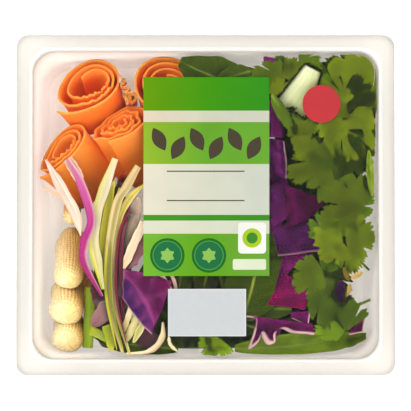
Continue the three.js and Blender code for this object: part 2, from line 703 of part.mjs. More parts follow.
const SHREDS = [
  { path: [[-38.7, 5], [-43.9, -12], [-47.4, -28]], width: 8, segments: 6 },
  { path: [[-45, 0], [-49, -20], [-49.5, -50], [-46.8, -73]], width: 3.2 },
  { path: [[-56, -57], [-60, -64], [-65, -71]], width: 9, segments: 4, tip: 0.15 },
  { path: [[-38, -62], [-42, -70], [-46, -80]], width: 4.5, segments: 4, tip: 1 },
  { path: [[-33, -62], [-37, -70], [-42, -80]], width: 3.6, segments: 4, tip: 1 },
  { path: [[-66, -74], [-60, -76], [-53, -79]], width: 5, segments: 4, tip: 1 },
  { path: [[-35.8, -10], [-42.7, -24.5], [-47.4, -37]], width: 5, segments: 5, tip: 1 },
  {
    path: [[-44, -87], [-35, -86], [-28, -82], [-25, -76], [-25, -67]],
    width: 3, segments: 8, tip: 0.7,
  },
  { path: [[-53, 14], [-56.7, 0], [-59.6, -20], [-59, -36], [-57.8, -50]], width: 4.4 },
  {
    path: [[-34, 13.3], [-44, 4], [-51, -10.5], [-53.4, -32], [-53.4, -55], [-44, -87]],
    width: 3.8, segments: 9,
  },
  {
    path: [[-39.3, 22.6], [-46.2, 10.4], [-52, -0.6], [-56.6, -30], [-55.6, -58], [-48, -86.5]],
    width: 5, segments: 9, tip: 0.8,
  },
  {
    path: [[-52.6, 27], [-59, 9.2], [-63.6, -6], [-65, -22], [-62.4, -36], [-59.6, -49]],
    width: 5.8, segments: 8, tip: 0.7,
  },
  {
    path: [[-80.4, 27], [-72.9, 13.3], [-66.6, -8], [-70.4, -22], [-70.4, -34], [-60, -53]],
    width: 5, segments: 9, tip: 0.4,
  },
  { path: [[-95, 10.4], [-83.3, 4], [-76, -7]], width: 2, segments: 5 },
  { path: [[-93.2, 26.6], [-83, 8.6], [-75.2, -5], [-71.4, -18]], width: 8.6, tip: 0.12 },
];

// ---------------------------------------------------------------- heaps
// The bare inside of a heap: a low mound with an uneven top.
function mound({ x, y, halfX, halfY, top, seed, grow = 0 }) {
  const random = randomFrom(seed);
  const levels = [
    [0.9, FOOD_FLOOR, 0],
    [1, top * 0.55, 0],
    [0.96, top - 5, 0.5],
    [0.8, top - 1, 1],
    [0.42, top + 0.6, 1],
  ];
  const sides = 12;
  const rings = levels.map(([share, z, roughness]) =>
    Array.from({ length: sides }, (_, i) => {
      const angle = (2 * Math.PI * i) / sides;
      const corner = (Math.abs(Math.cos(angle)) ** 4 + Math.abs(Math.sin(angle)) ** 4) ** -0.25;
      const bump = 1.6 * roughness * (random() - 0.5);
      return new THREE.Vector3(
        x + (halfX * share + grow) * corner * Math.cos(angle),
        y + (halfY * share + grow) * corner * Math.sin(angle),
        z + bump + grow,
      );
    }),
  );
  return [loft(rings)];
}

const SHRED_CORES = [{ x: -54.6, y: -38, halfX: 11, halfY: 46, top: 38, seed: 5 }];
const LEAF_CORES = [
  { x: -2, y: -38, halfX: 34, halfY: 48, top: 30, seed: 7 },
  { x: 8, y: 22, halfX: 25, halfY: 36, top: 29, seed: 9 },
  { x: 11, y: 64, halfX: 24, halfY: 19, top: 30, seed: 11 },
  { x: 52, y: -79.6, halfX: 42, halfY: 6.2, top: 25, seed: 13 },
];
const CORIANDER_CORES = [
  { x: 67.5, y: 6.5, halfX: 29, halfY: 77, top: 28, seed: 17 },
  { x: 54, y: 66, halfX: 18, halfY: 20, top: 27, seed: 19 },
];

function unionOf(solids) {
  return solids.reduce((sum, solid) => sum.add(solid));
}

// The largest body of a solid, without the crumbs that a cut can leave.
function mainBody(solid) {
  const bodies = solid.decompose();
  return bodies.reduce((best, body) => (body.volume() > best.volume() ? body : best));
}

// ---------------------------------------------------------------- building, from the floor up
const solids = {};
const pockets = [];

function place(name, make, description) {
  const mesh = make(description);
  solids[name] = toSolid(mesh);
  pockets.push(toSolid(make({ ...description, grow: PIECE_GAP + 0.1 })));
  stamp(mesh, name);
}

for (const [name, roll] of Object.entries(CARROT_ROLLS)) place(name, carrotRoll, roll);
for (const [name, cob] of Object.entries(CORN_COBS)) place(name, cornCob, cob);
place("green_stalk", stalk, GREEN_STALK);

// The pieces of each heap, and the same pieces grown by the gap that other nodes keep from them.
const heaps = { shred_bundle: [], leaf_heap: [], coriander_heap: [] };
const grownHeaps = { shred_bundle: [], leaf_heap: [], coriander_heap: [] };

function addToHeap(name, make, description) {
  const meshes = make(description);
  heaps[name].push(...meshes);
  grownHeaps[name].push(...make({ ...description, grow: PIECE_GAP }));
  meshes.forEach((mesh) => stamp(mesh, name));
}

for (const core of SHRED_CORES) addToHeap("shred_bundle", mound, core);
for (const core of LEAF_CORES) addToHeap("leaf_heap", mound, core);
for (const core of CORIANDER_CORES) addToHeap("coriander_heap", mound, core);
for (const leaf of SMOOTH_LEAVES) addToHeap("leaf_heap", smoothLeaf, leaf);
addToHeap("leaf_heap", corianderLeaf, LONE_CORIANDER_LEAF);
for (const strip of SHREDS) addToHeap("shred_bundle", shred, strip);
for (const [name, piece] of Object.entries(CABBAGE_PIECES)) place(name, cabbagePiece, piece);
for (const leaf of CORIANDER_LEAVES) addToHeap("coriander_heap", corianderLeaf, leaf);
place("pak_choi_stalk", stalk, PAK_CHOI_STALK);

const inside = trayInside();
const taken = [...pockets];
for (const [name, meshes] of Object.entries(heaps)) {
  const heap = unionOf(meshes.map(toSolid)).intersect(inside);
  solids[name] = mainBody(heap.subtract(unionOf(taken)).simplify(0.05));
  taken.push(...grownHeaps[name].map(toSolid));
}

// ---------------------------------------------------------------- scene graph
const FINISHES = {
  polypropylene: { color: "#efece4", roughness: 0.45 },
  clear_film: { color: "#f4f6f4", roughness: 0.1, transparent: true, opacity: 0.15 },
  printed_film: { color: "#6fa82f", roughness: 0.35 },
  date_panel: { color: "#d9dcdb", roughness: 0.5 },
  sticker: { color: "#ce3a3f", roughness: 0.4 },
  carrot: { color: "#fb8429", roughness: 0.45 },
  corn: { color: "#f8dc98", roughness: 0.5 },
  stalk: { color: "#96af0a", roughness: 0.4 },
  shreds: { color: "#dfe0a8", roughness: 0.4 },
  cabbage: { color: "#701f63", roughness: 0.35 },
  smooth_leaf: { color: "#4f680f", roughness: 0.4 },
  coriander: { color: "#5d7a1c", roughness: 0.5 },
};

function finishOf(name) {
  if (name === "tray") return "polypropylene";
  if (name.startsWith("carrot")) return "carrot";
  if (name.startsWith("corn")) return "corn";
  if (name.startsWith("cabbage")) return "cabbage";
  return {
    lid_film: "clear_film", label: "printed_film", date_label: "date_panel", round_sticker: "sticker",
    shred_bundle: "shreds", leaf_heap: "smooth_leaf", coriander_heap: "coriander",
  }[name] ?? "stalk";
}

function namedMesh(name, geometry) {
  geometry.computeVertexNormals();
  const material = new THREE.MeshStandardMaterial({ metalness: 0, ...FINISHES[finishOf(name)] });
  const mesh = new THREE.Mesh(geometry, material);
  mesh.name = name;
  return mesh;
}

function geometryOf(solid) {
  const { positions, faces } = toMeshData(solid);
  const geometry = new THREE.BufferGeometry();
  geometry.setAttribute("position", new THREE.BufferAttribute(positions, 3));
  geometry.setIndex(new THREE.BufferAttribute(faces, 1));
  return geometry;
}

const root = new THREE.Group();
root.add(namedMesh("tray", geometryOf(tray())));
for (const [name, solid] of Object.entries(solids)) root.add(namedMesh(name, geometryOf(solid)));
root.add(namedMesh("lid_film", geometryOf(film())));
root.add(namedMesh("label", rectangleOnFilm(LABEL)));
root.add(namedMesh("date_label", rectangleOnFilm(DATE_LABEL)));
root.add(namedMesh("round_sticker", discOnFilm(STICKER)));

export default root;
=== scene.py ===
import math

import bpy
import numpy as np
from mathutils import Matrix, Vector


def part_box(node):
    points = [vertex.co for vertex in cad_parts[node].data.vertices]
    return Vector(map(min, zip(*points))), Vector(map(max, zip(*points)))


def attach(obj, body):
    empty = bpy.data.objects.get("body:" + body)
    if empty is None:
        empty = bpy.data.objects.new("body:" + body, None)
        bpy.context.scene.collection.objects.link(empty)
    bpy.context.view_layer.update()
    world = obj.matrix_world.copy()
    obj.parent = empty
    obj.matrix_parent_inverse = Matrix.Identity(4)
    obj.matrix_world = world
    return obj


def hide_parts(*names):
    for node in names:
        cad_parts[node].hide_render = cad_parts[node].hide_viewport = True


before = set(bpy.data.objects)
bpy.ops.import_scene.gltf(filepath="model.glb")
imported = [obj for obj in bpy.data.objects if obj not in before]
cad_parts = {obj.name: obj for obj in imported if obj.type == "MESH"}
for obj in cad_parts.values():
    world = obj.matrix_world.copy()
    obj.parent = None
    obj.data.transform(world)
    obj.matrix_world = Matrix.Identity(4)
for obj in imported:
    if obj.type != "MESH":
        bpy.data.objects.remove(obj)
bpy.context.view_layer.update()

# ------------------------------------------------------------------ tray
# The tray is thermoformed from translucent white polypropylene sheet. Its flange is flat for sealing and
# turned down at its edge, a fine step runs inside the flange, and a groove stiffens the base.
MM = 0.001
TRAY_LOW, TRAY_HIGH = (np.array(corner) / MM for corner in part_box("tray"))
TRAY_TOP = TRAY_HIGH[2]
TRAY_WALL = 0.8
FLANGE_WIDTH = 7.6
FLANGE_CORNER_RADIUS = 7
CORNER_GROWTH = 0.6  # how much a corner's radius grows for each millimetre of inset
CORNER_STEPS = 9
WALL_TOP_INSET = FLANGE_WIDTH + 2.4
WALL_FOOT_INSET = 15.2
GROOVE_INSET = 40
GROOVE_HEIGHT = 1.2
LIP_DEPTH = 3.2
PROFILE_ROUNDING = 0.6
PAINTED_LIGHT_TOP = 47  # painted light: the colour is darkest above this height, on the flange that takes the full light, and lightest at the foot height below
PAINTED_LIGHT_FOOT = 2
UNDERSIDE_SHARE = 0.45  # of the profile, which starts under the base
UNDERSIDE_PAINTED_SHADE = 0.48  # painted shade: the tray's outside, from under the base to the flange's lip, is darkened to this share
TRAY_PROFILE = [  # inset from the flange's edge, height
    (GROOVE_INSET + 6, 0),
    (GROOVE_INSET + 4, GROOVE_HEIGHT),
    (GROOVE_INSET - 2, GROOVE_HEIGHT),
    (GROOVE_INSET - 4, 0),
    (WALL_FOOT_INSET + 8, 0),
    (WALL_FOOT_INSET + 3.2, 1.4),
    (WALL_FOOT_INSET + 0.4, 4.6),
    (WALL_FOOT_INSET - 1.6, 11),
    (WALL_TOP_INSET - TRAY_WALL, TRAY_TOP - 2),
    (FLANGE_WIDTH + 0.2, TRAY_TOP - TRAY_WALL),
    (1.2, TRAY_TOP - TRAY_WALL),
    (TRAY_WALL, TRAY_TOP - LIP_DEPTH),
    (0, TRAY_TOP - LIP_DEPTH),
    (0, TRAY_TOP - 0.5),
    (0.5, TRAY_TOP),
    (FLANGE_WIDTH, TRAY_TOP),
    (FLANGE_WIDTH + 0.7, TRAY_TOP - 1),
    (FLANGE_WIDTH + 1.8, TRAY_TOP - 1.1),
    (WALL_TOP_INSET, TRAY_TOP - 2.1),
    (WALL_FOOT_INSET - TRAY_WALL, 11),
    (WALL_FOOT_INSET + 1.2, 5),
    (WALL_FOOT_INSET + 3.8, 2.2),
    (WALL_FOOT_INSET + 8.4, TRAY_WALL),
    (GROOVE_INSET - 4.4, TRAY_WALL),
    (GROOVE_INSET - 2.4, GROOVE_HEIGHT + TRAY_WALL),
    (GROOVE_INSET + 4.4, GROOVE_HEIGHT + TRAY_WALL),
    (GROOVE_INSET + 6.4, TRAY_WALL),
]


def rounded_profile(profile, radius):
    """The profile with each inner corner turned into a short curve of about that radius."""
    points = np.array(profile, float)
    result = [points[0]]
    for before, corner, after in zip(points, points[1:], points[2:]):
        back = before - corner
        ahead = after - corner
        start = corner + back * min(0.45, radius / np.linalg.norm(back))  # short of an edge's middle
        end = corner + ahead * min(0.45, radius / np.linalg.norm(ahead))
        for s in (0, 0.35, 0.65, 1):
            result.append((1 - s) ** 2 * start + 2 * s * (1 - s) * corner + s * s * end)
    result.append(points[-1])
    return result


def pack_outline(inset, z):
    """A rectangle with round corners, inset from the flange's edge, as (points, 3)."""
    half = (TRAY_HIGH - TRAY_LOW)[:2] / 2 - inset
    radius = min(FLANGE_CORNER_RADIUS + CORNER_GROWTH * inset, half.min())
    points = []
    for corner in range(4):
        centre_x = (half[0] - radius) * (1 if corner in (0, 3) else -1)
        centre_y = (half[1] - radius) * (1 if corner < 2 else -1)
        for i in range(CORNER_STEPS + 1):
            angle = (corner + i / CORNER_STEPS) * math.pi / 2
            points.append((centre_x + radius * math.cos(angle), centre_y + radius * math.sin(angle), z))
    return np.array(points)


def loft(rings):
    """Faces between rings (count, around, 3) and a cap on each end."""
    count, around = rings.shape[:2]
    index = np.arange(count * around).reshape(count, around)
    turned = np.roll(index, -1, axis=1)
    sides = np.stack([index[:-1], turned[:-1], turned[1:], index[1:]], axis=-1).reshape(-1, 4)
    return [sides, index[:1, ::-1], index[-1:]]


class Skin:
    """The surfaces of one piece: points in millimetres, faces, colours, and places along the grain."""

    def __init__(self):
        self.points = []
        self.faces = []
        self.tints = []
        self.grain = []
        self.count = 0

    def add(self, points, faces, tint=(1, 1, 1), grain=None):
        """tint is one linear colour or one a point, grain millimetres along and across at each point."""
        points = np.asarray(points, float).reshape(-1, 3)
        self.points.append(points)
        self.faces += [np.asarray(some) + self.count for some in faces]
        tint = np.asarray(tint, float)
        tint = tint.reshape(-1, 1 if tint.shape[-1] == 1 else 3)
        self.tints.append(np.broadcast_to(tint, points.shape))
        self.grain.append(points[:, :2] if grain is None else np.asarray(grain).reshape(-1, 2))
        self.count += len(points)

    def build(self, name, material):
        """The object, with its colours as the attribute Tint and its grain as the map Grain."""
        mesh = bpy.data.meshes.new(name)
        points = np.concatenate(self.points) * MM
        corners = np.concatenate([some.ravel() for some in self.faces])
        sizes = np.concatenate([np.full(len(some), some.shape[1]) for some in self.faces])
        mesh.vertices.add(len(points))
        mesh.vertices.foreach_set("co", points.ravel())
        mesh.loops.add(len(corners))
        mesh.loops.foreach_set("vertex_index", corners)
        mesh.polygons.add(len(sizes))
        mesh.polygons.foreach_set("loop_start", np.concatenate([[0], np.cumsum(sizes)[:-1]]))
        mesh.update(calc_edges=True)
        tint = mesh.color_attributes.new("Tint", "FLOAT_COLOR", "POINT")
        colours = np.concatenate(self.tints)
        tint.data.foreach_set("color", np.column_stack([colours, np.ones(len(colours))]).ravel())
        grain = mesh.uv_layers.new(name="Grain")
        grain.data.foreach_set("uv", np.concatenate(self.grain)[corners].ravel())
        mesh.polygons.foreach_set("use_smooth", np.ones(len(sizes), bool))
        mesh.set_sharp_from_angle(angle=math.radians(55))  # cut rims stay crisp
        mesh.materials.append(material)
        mesh.validate()
        piece = bpy.data.objects.new(name, mesh)
        bpy.context.scene.collection.objects.link(piece)
        return piece


def linear(code):
    """An sRGB hex colour as linear red, green and blue."""
    parts = np.array([int(code[i:i + 2], 16) / 255 for i in (1, 3, 5)])
    return np.where(parts <= 0.04045, parts / 12.92, ((parts + 0.055) / 1.055) ** 2.4)


def rgba(code):
    """The same colour with full alpha, for a shader's socket."""
    return (*linear(code), 1)


def new_material(name):
    """A material with an empty node tree."""
    material = bpy.data.materials.new(name)
    material.use_nodes = True
    material.node_tree.nodes.clear()
    return material


def add_node(tree, kind, inputs=None, **settings):
    """Adds a node: inputs are values or sockets for its own sockets, settings are its properties."""
    made = tree.nodes.new(kind)
    for name, value in settings.items():
        setattr(made, name, value)
    for name, value in (inputs or {}).items():
        if isinstance(value, bpy.types.NodeSocket):
            tree.links.new(value, made.inputs[name])
        else:
            made.inputs[name].default_value = value
    return made


# Thermoformed polypropylene: milky and satin. Its colour is painted darker on the flange and lighter down the
# walls to the base, a painted light that lifts the shade in the well.
ORANGE_PEEL = 1.1  # the width of a dimple in the moulded face
milky_polypropylene = new_material("thermoformed_milky_polypropylene")
tree = milky_polypropylene.node_tree
place = add_node(tree, "ShaderNodeTexCoord")
depth = add_node(tree, "ShaderNodeSeparateXYZ", {"Vector": place.outputs["Object"]})
painted_light_share = add_node(
    tree, "ShaderNodeMapRange",
    {"Value": depth.outputs["Z"], "From Min": PAINTED_LIGHT_TOP * MM, "From Max": PAINTED_LIGHT_FOOT * MM,
     "To Min": 0.0, "To Max": 1.0})
# painted light: by height, the ramp darkens the flange and lightens the walls and base
milk_with_painted_light = add_node(tree, "ShaderNodeValToRGB", {"Fac": painted_light_share.outputs["Result"]})
milk_with_painted_light.color_ramp.elements[0].color = rgba("#a09d97")
milk_with_painted_light.color_ramp.elements[1].color = rgba("#f8ece0")
for position, code in ((0.03, "#9a968f"), (0.07, "#c4bdb5"), (0.25, "#e6ddd3"), (0.45, "#f0e5da")):
    milk_with_painted_light.color_ramp.elements.new(position).color = rgba(code)
# the Tint attribute carries the painted shade on the tray's outside
face = add_node(tree, "ShaderNodeAttribute", attribute_name="Tint")
sheet = add_node(
    tree, "ShaderNodeHueSaturation", {"Color": milk_with_painted_light.outputs["Color"], "Value": face.outputs["Fac"]})
orange_peel = add_node(
    tree, "ShaderNodeTexNoise",
    {"Vector": place.outputs["Object"], "Scale": 1 / (ORANGE_PEEL * MM), "Detail": 1.0})
relief = add_node(
    tree, "ShaderNodeBump",
    {"Height": orange_peel.outputs["Fac"], "Strength": 0.05, "Distance": 0.0002})
plastic = add_node(tree, "ShaderNodeBsdfPrincipled", {
    "Base Color": sheet.outputs["Color"], "Roughness": 0.36, "IOR": 1.49, "Specular IOR Level": 0.3,
    "Subsurface Weight": 0.7, "Subsurface Radius": (1, 0.95, 0.9), "Subsurface Scale": 0.006,
    "Normal": relief.outputs["Normal"]})
add_node(tree, "ShaderNodeOutputMaterial", {"Surface": plastic.outputs["BSDF"]})

tray_profile = rounded_profile(TRAY_PROFILE, PROFILE_ROUNDING)
tray_rings = np.array([pack_outline(inset, z) for inset, z in tray_profile])
tray_skin = Skin()
# painted shade: the outside of the tray is coloured darker than the inside
underside = np.arange(len(tray_rings)) < len(tray_rings) * UNDERSIDE_SHARE
underside_painted_shade = np.where(underside, UNDERSIDE_PAINTED_SHADE, 1.0)[:, None] * np.ones(tray_rings.shape[1])
tray_skin.add(tray_rings, loft(tray_rings), underside_painted_shade.reshape(-1, 1))
tray = tray_skin.build("moulded_tray", milky_polypropylene)
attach(tray, "root")
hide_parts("tray")

# ------------------------------------------------------------------ carrot
# Wide ribbons pared from peeled carrots are rolled up like roses and stood in the tray's top left corner,
# leaning back, with wet smooth faces, pale cut rims and ragged inner edges where the parer has torn.
FOOD_FLOOR = 2.4
FOOD_CEILING = TRAY_TOP - 0.5
PRESS_START = 36  # below this height nothing is pressed down by the film
PRESS_ROOM = FOOD_CEILING - PRESS_START
PILE_CELL = 1.0
PILE_REACH = 20  # how many cells a piece can hang from what holds it up
WALL_GAP = 0.6
WALL_SOFTNESS = 3.5  # how far from a wall a leaf starts to bend away from it
WALL_CLIMB = 0.6  # how much a piece rises for each millimetre that it is moved in
WALL_FOOT_HEIGHT = 5.5
WALL_SLOPE = (WALL_FOOT_INSET - WALL_TOP_INSET) / (TRAY_TOP - WALL_FOOT_HEIGHT)
FOOT_CURVE = 9  # how far in the wall's curve reaches at the base, and how fast it ends
FOOT_CURVE_HEIGHT = 2.2
PILE_SHAPE = tuple(np.ceil((TRAY_HIGH - TRAY_LOW)[:2] / PILE_CELL).astype(int) + 1)
pile = np.full(PILE_SHAPE, FOOD_FLOOR)  # the height of the food so far, before the film presses it


def pressed(height):
    """What the film leaves of a height: what stands over PRESS_START is squeezed under the ceiling."""
    over = np.maximum(np.asarray(height) - PRESS_START, 0)
    return np.minimum(height, PRESS_START) + PRESS_ROOM * (1 - np.exp(-over / PRESS_ROOM))


def unpressed(z):
    """The height that the film presses down to z."""
    over = np.clip((np.asarray(z) - PRESS_START) / PRESS_ROOM, 0, 0.97)
    return np.minimum(z, PRESS_START) - PRESS_ROOM * np.log(1 - over)


def nearest_cell(x, y):
    """The column and row of the pile's cell at each place in plan."""
    column = np.rint((x - TRAY_LOW[0]) / PILE_CELL).astype(int)
    row = np.rint((y - TRAY_LOW[1]) / PILE_CELL).astype(int)
    return np.clip(column, 0, PILE_SHAPE[0] - 1), np.clip(row, 0, PILE_SHAPE[1] - 1)


def stamp(x, y, height):
    """Raises the pile to a surface that is sampled at least once a cell."""
    np.maximum.at(pile, nearest_cell(x.ravel(), y.ravel()), height.ravel())


def soften(heights, times):
    """Heights averaged with their neighbours."""
    for _ in range(times):
        wide = np.pad(heights, 1, mode="edge")
        heights = (2 * heights + wide[2:, 1:-1] + wide[:-2, 1:-1] + wide[1:-1, 2:] + wide[1:-1, :-2]) / 6
    return heights


def lay_over(sag):
    """The pile's surface as a piece lies on it: off its supports it sags by sag times distance squared."""
    cover = pile
    for axis in (0, 1):
        room = [(PILE_REACH, PILE_REACH) if side == axis else (0, 0) for side in (0, 1)]
        padded = np.pad(cover, room)
        best = np.zeros(PILE_SHAPE)
        for step in range(2 * PILE_REACH + 1):
            part = padded[step:step + PILE_SHAPE[0]] if axis == 0 else padded[:, step:step + PILE_SHAPE[1]]
            best = np.maximum(best, part - sag * ((step - PILE_REACH) * PILE_CELL) ** 2)
        cover = best
    return soften(cover, 4)


def height_at(cover, x, y):
    """The cover's height at places in plan."""
    column = np.clip((x - TRAY_LOW[0]) / PILE_CELL, 0, PILE_SHAPE[0] - 1.001)
    row = np.clip((y - TRAY_LOW[1]) / PILE_CELL, 0, PILE_SHAPE[1] - 1.001)
    i = column.astype(int)
    j = row.astype(int)
    across = column - i
    up = row - j
    near = cover[i, j] * (1 - across) + cover[i + 1, j] * across
    far = cover[i, j + 1] * (1 - across) + cover[i + 1, j + 1] * across
    return near * (1 - up) + far * up


def kept_in(x, y, height):
    """Places in plan moved in from the tray's walls, and the heights there, raised where they moved."""
    inset = WALL_TOP_INSET + WALL_GAP + (TRAY_TOP - pressed(height)) * WALL_SLOPE
    inset = inset + FOOT_CURVE * np.exp(-np.maximum(height, 0) / FOOT_CURVE_HEIGHT)
    radius = FLANGE_CORNER_RADIUS + CORNER_GROWTH * inset
    past_x = np.abs(x) - (TRAY_HIGH[0] - inset - radius)
    past_y = np.abs(y) - (TRAY_HIGH[1] - inset - radius)
    reach = np.hypot(np.maximum(past_x, 0), np.maximum(past_y, 0))
    over = np.maximum(reach - radius + WALL_SOFTNESS, 0)
    over = over - WALL_SOFTNESS * (1 - np.exp(-over / WALL_SOFTNESS))
    share = over / np.maximum(reach, 1e-6)
    x = x - np.sign(x) * np.maximum(past_x, 0) * share
    y = y - np.sign(y) * np.maximum(past_y, 0) * share
    return x, y, height + WALL_CLIMB * over


def thin_sheet(surface, thickness):
    """Points and faces of a thin closed skin about a grid of points (columns, rows, 3)."""
    columns, rows = surface.shape[:2]
    normal = np.cross(np.gradient(surface, axis=0), np.gradient(surface, axis=1))
    normal /= np.linalg.norm(normal, axis=2, keepdims=True) + 1e-9
    half = normal * thickness / 2
    points = np.concatenate([(surface + half).reshape(-1, 3), (surface - half).reshape(-1, 3)])
    index = np.arange(columns * rows).reshape(columns, rows)
    corners = [index[:-1, :-1], index[1:, :-1], index[1:, 1:], index[:-1, 1:]]
    top = np.stack(corners, axis=-1).reshape(-1, 4)
    rim = np.concatenate([index[:, 0], index[-1, 1:], index[-2::-1, -1], index[0, -2:0:-1]])
    after = np.roll(rim, -1)
    under = columns * rows
    edge = np.stack([rim, rim + under, after + under, after], axis=-1)
    return points, [top, top[:, ::-1] + under, edge]


def twice(values):
    """Values of a grid of points for both faces of a thin sheet."""
    flat = np.asarray(values).reshape(-1, np.shape(values)[-1])
    return np.concatenate([flat, flat])


def blend_colours(codes, share):
    """Colours spread evenly over a share from 0 to 1."""
    stops = np.array([linear(code) for code in codes])
    share = np.clip(share, 0, 1)
    where = np.linspace(0, 1, len(codes))
    return np.stack([np.interp(share, where, stops[:, k]) for k in range(3)], axis=-1)


# Raw carrot, pared: wet and smooth, with fibres along the ribbon every 1 to 2 mm.
CARROT_FIBRE_LENGTH = 20
CARROT_FIBRE_WIDTH = 1.4
pared_carrot = new_material("wet_pared_carrot")
tree = pared_carrot.node_tree
tint = add_node(tree, "ShaderNodeAttribute", attribute_name="Tint")
grain = add_node(tree, "ShaderNodeUVMap", uv_map="Grain")
drawn_out = add_node(
    tree, "ShaderNodeMapping",
    {"Vector": grain.outputs["UV"], "Scale": (1 / CARROT_FIBRE_LENGTH, 1 / CARROT_FIBRE_WIDTH, 1.0)})
fibres = add_node(
    tree, "ShaderNodeTexNoise", {"Vector": drawn_out.outputs["Vector"], "Scale": 1.0, "Detail": 3.0})
fibre_value = add_node(
    tree, "ShaderNodeMapRange",
    {"Value": fibres.outputs["Fac"], "From Min": 0.3, "From Max": 0.7, "To Min": 0.9, "To Max": 1.1})
flesh = add_node(
    tree, "ShaderNodeHueSaturation", {"Color": tint.outputs["Color"], "Value": fibre_value.outputs["Result"]})
relief = add_node(
    tree, "ShaderNodeBump", {"Height": fibres.outputs["Fac"], "Strength": 0.25, "Distance": 0.0006})
skin = add_node(tree, "ShaderNodeBsdfPrincipled", {
    "Base Color": flesh.outputs["Color"], "Roughness": 0.4, "IOR": 1.4, "Specular IOR Level": 0.06,
    "Subsurface Weight": 0.8, "Subsurface Radius": (1, 0.4, 0.12), "Subsurface Scale": 0.009,
    "Normal": relief.outputs["Normal"]})
add_node(tree, "ShaderNodeOutputMaterial", {"Surface": skin.outputs["BSDF"]})

CARROT_THICKNESS = 1.2
CARROT_COLOURS = ["#ff6a1a", "#ff7520", "#ff8a38"]  # from the foot of a ribbon to its rim
HEART_PAINTED_SHADE = np.array([0.02, 0.55, 0.8])  # painted shade: how much red, green and blue is taken out deep in a roll, where shade falls
RIBBON_STEPS = 110  # a turn
RIBBON_ROWS = 15
TORN_TOOTH = 1.7
CARROT_ROLLS = {  # place of the rim's middle, which way it leans and how far, and how it is rolled
    "carrot_roll_1": dict(
        x=-71.2, y=70.4, lean=118, tilt=36, half_width=21.4, half_depth=17, length=28, turns=2.75,
        start=25, core=0.42, ragged=1.7, shift=4.4, taper=0.16),
    "carrot_roll_2": dict(
        x=-23.2, y=70.6, lean=80, tilt=20, half_width=19, half_depth=17, length=34, turns=3.1,
        start=250, core=0.36, ragged=0.8, shift=1.4, taper=0.26),
    "carrot_roll_3": dict(
        x=-51.6, y=47.6, lean=117, tilt=50, half_width=18, half_depth=11.8, length=40, turns=3.4,
        start=60, core=0.2, ragged=1.3, pleats=0.08, taper=0.04),
    "carrot_roll_4": dict(
        x=-85.4, y=33, lean=138, tilt=51, half_width=19.4, half_depth=11.4, length=37, turns=3.0,
        start=20, core=0.36, ragged=1.0, shift=1.4, taper=0.06),
    "carrot_curl": dict(
        x=-43.8, y=63, lean=90, tilt=5, half_width=3.4, half_depth=2.8, length=38, turns=1.6,
        start=200, core=0.5, ragged=2.2, pleats=0.12),
}
PARING_PATH = [
    (-50.4, 74.5), (-47.2, 72.5), (-49.4, 69.5), (-44.8, 67.8), (-48, 64.4), (-43.6, 62.6), (-46.4, 58.6)]
PARING_STEPS = 90
PARING_FOOT = 24
PARING_TOP = 40


def carrot_roll(x, y, lean, tilt, half_width, half_depth, length, turns, start,
                core=0.32, taper=0.22, ragged=0.0, pleats=0.0, shift=1.0):
    """A ribbon's middle surface, and how far round the roll and up the ribbon each point is."""
    heading = math.radians(lean)
    slope = math.radians(tilt)
    axis = np.array([
        math.sin(slope) * math.cos(heading), math.sin(slope) * math.sin(heading), math.cos(slope)])
    wide = np.array([-math.sin(heading), math.cos(heading), 0])
    deep = np.cross(axis, wide)
    first = math.radians(start)
    round_share = np.linspace(0, 1, int(turns * RIBBON_STEPS))[:, None]
    up_share = np.linspace(0, 1, RIBBON_ROWS)[None, :] ** 0.8
    angle = first + 2 * math.pi * turns * round_share
    wobble = 1 + 0.03 * np.sin(3 * angle + first) + 0.014 * np.sin(1.7 * angle + 2 * first)
    curl = 0.05 * np.clip((up_share - 0.8) / 0.2, 0, 1) ** 2
    pleat = 1 + pleats * np.sin(8 * angle) * np.clip(round_share * 3, 0, 1) * up_share ** 2
    shrink = 1 - (1 - core) * round_share
    radius = shrink * (1 - taper * (1 - up_share)) * wobble * (1 + curl) * pleat
    off_centre = shift * round_share * up_share
    facing = np.clip(np.sin(angle), 0, 1)  # 1 on the side towards the label's foot
    inner = np.clip((round_share - 0.3) / 0.2, 0, 1)
    teeth = np.abs(((angle * radius[:, -1:] * half_width / TORN_TOOTH) % 2) - 1) - 0.5
    notches = np.sin(5.3 * angle + first) * np.sin(12.1 * angle)
    tear = ragged * inner * facing * (1.1 * teeth + 0.9 * notches)
    rim = 0.8 * np.sin(2 * angle) + tear - 1.5 * facing * (1 - inner)
    rise = -length * (1 - up_share) + rim * up_share ** 3
    surface = (
        np.array([x, y, 0])
        + rise[..., None] * axis
        + (half_width * radius * np.cos(angle) - off_centre)[..., None] * wide
        + (half_depth * radius * np.sin(angle))[..., None] * deep
    )
    surface[..., 2] += FOOD_FLOOR + 0.6 + CARROT_THICKNESS / 2 - surface[..., 2].min()
    return surface, angle * half_width * np.ones_like(up_share), up_share * np.ones_like(angle)


def smooth_path(points, count):
    """Places along a smooth curve through the points, and the way it runs there."""
    points = np.array(points, float)
    padded = np.vstack([2 * points[0] - points[1], points, 2 * points[-1] - points[-2]])
    share = np.linspace(0, len(points) - 1.001, count)
    first = share.astype(int)
    s = (share - first)[:, None]
    a, b, c, d = (padded[first + k] for k in range(4))
    middle = 0.5 * (2 * b + (c - a) * s + (2 * a - 5 * b + 4 * c - d) * s ** 2
                    + (3 * b - a - 3 * c + d) * s ** 3)
    along = np.gradient(middle, axis=0)
    return middle, along / np.linalg.norm(along, axis=1, keepdims=True)


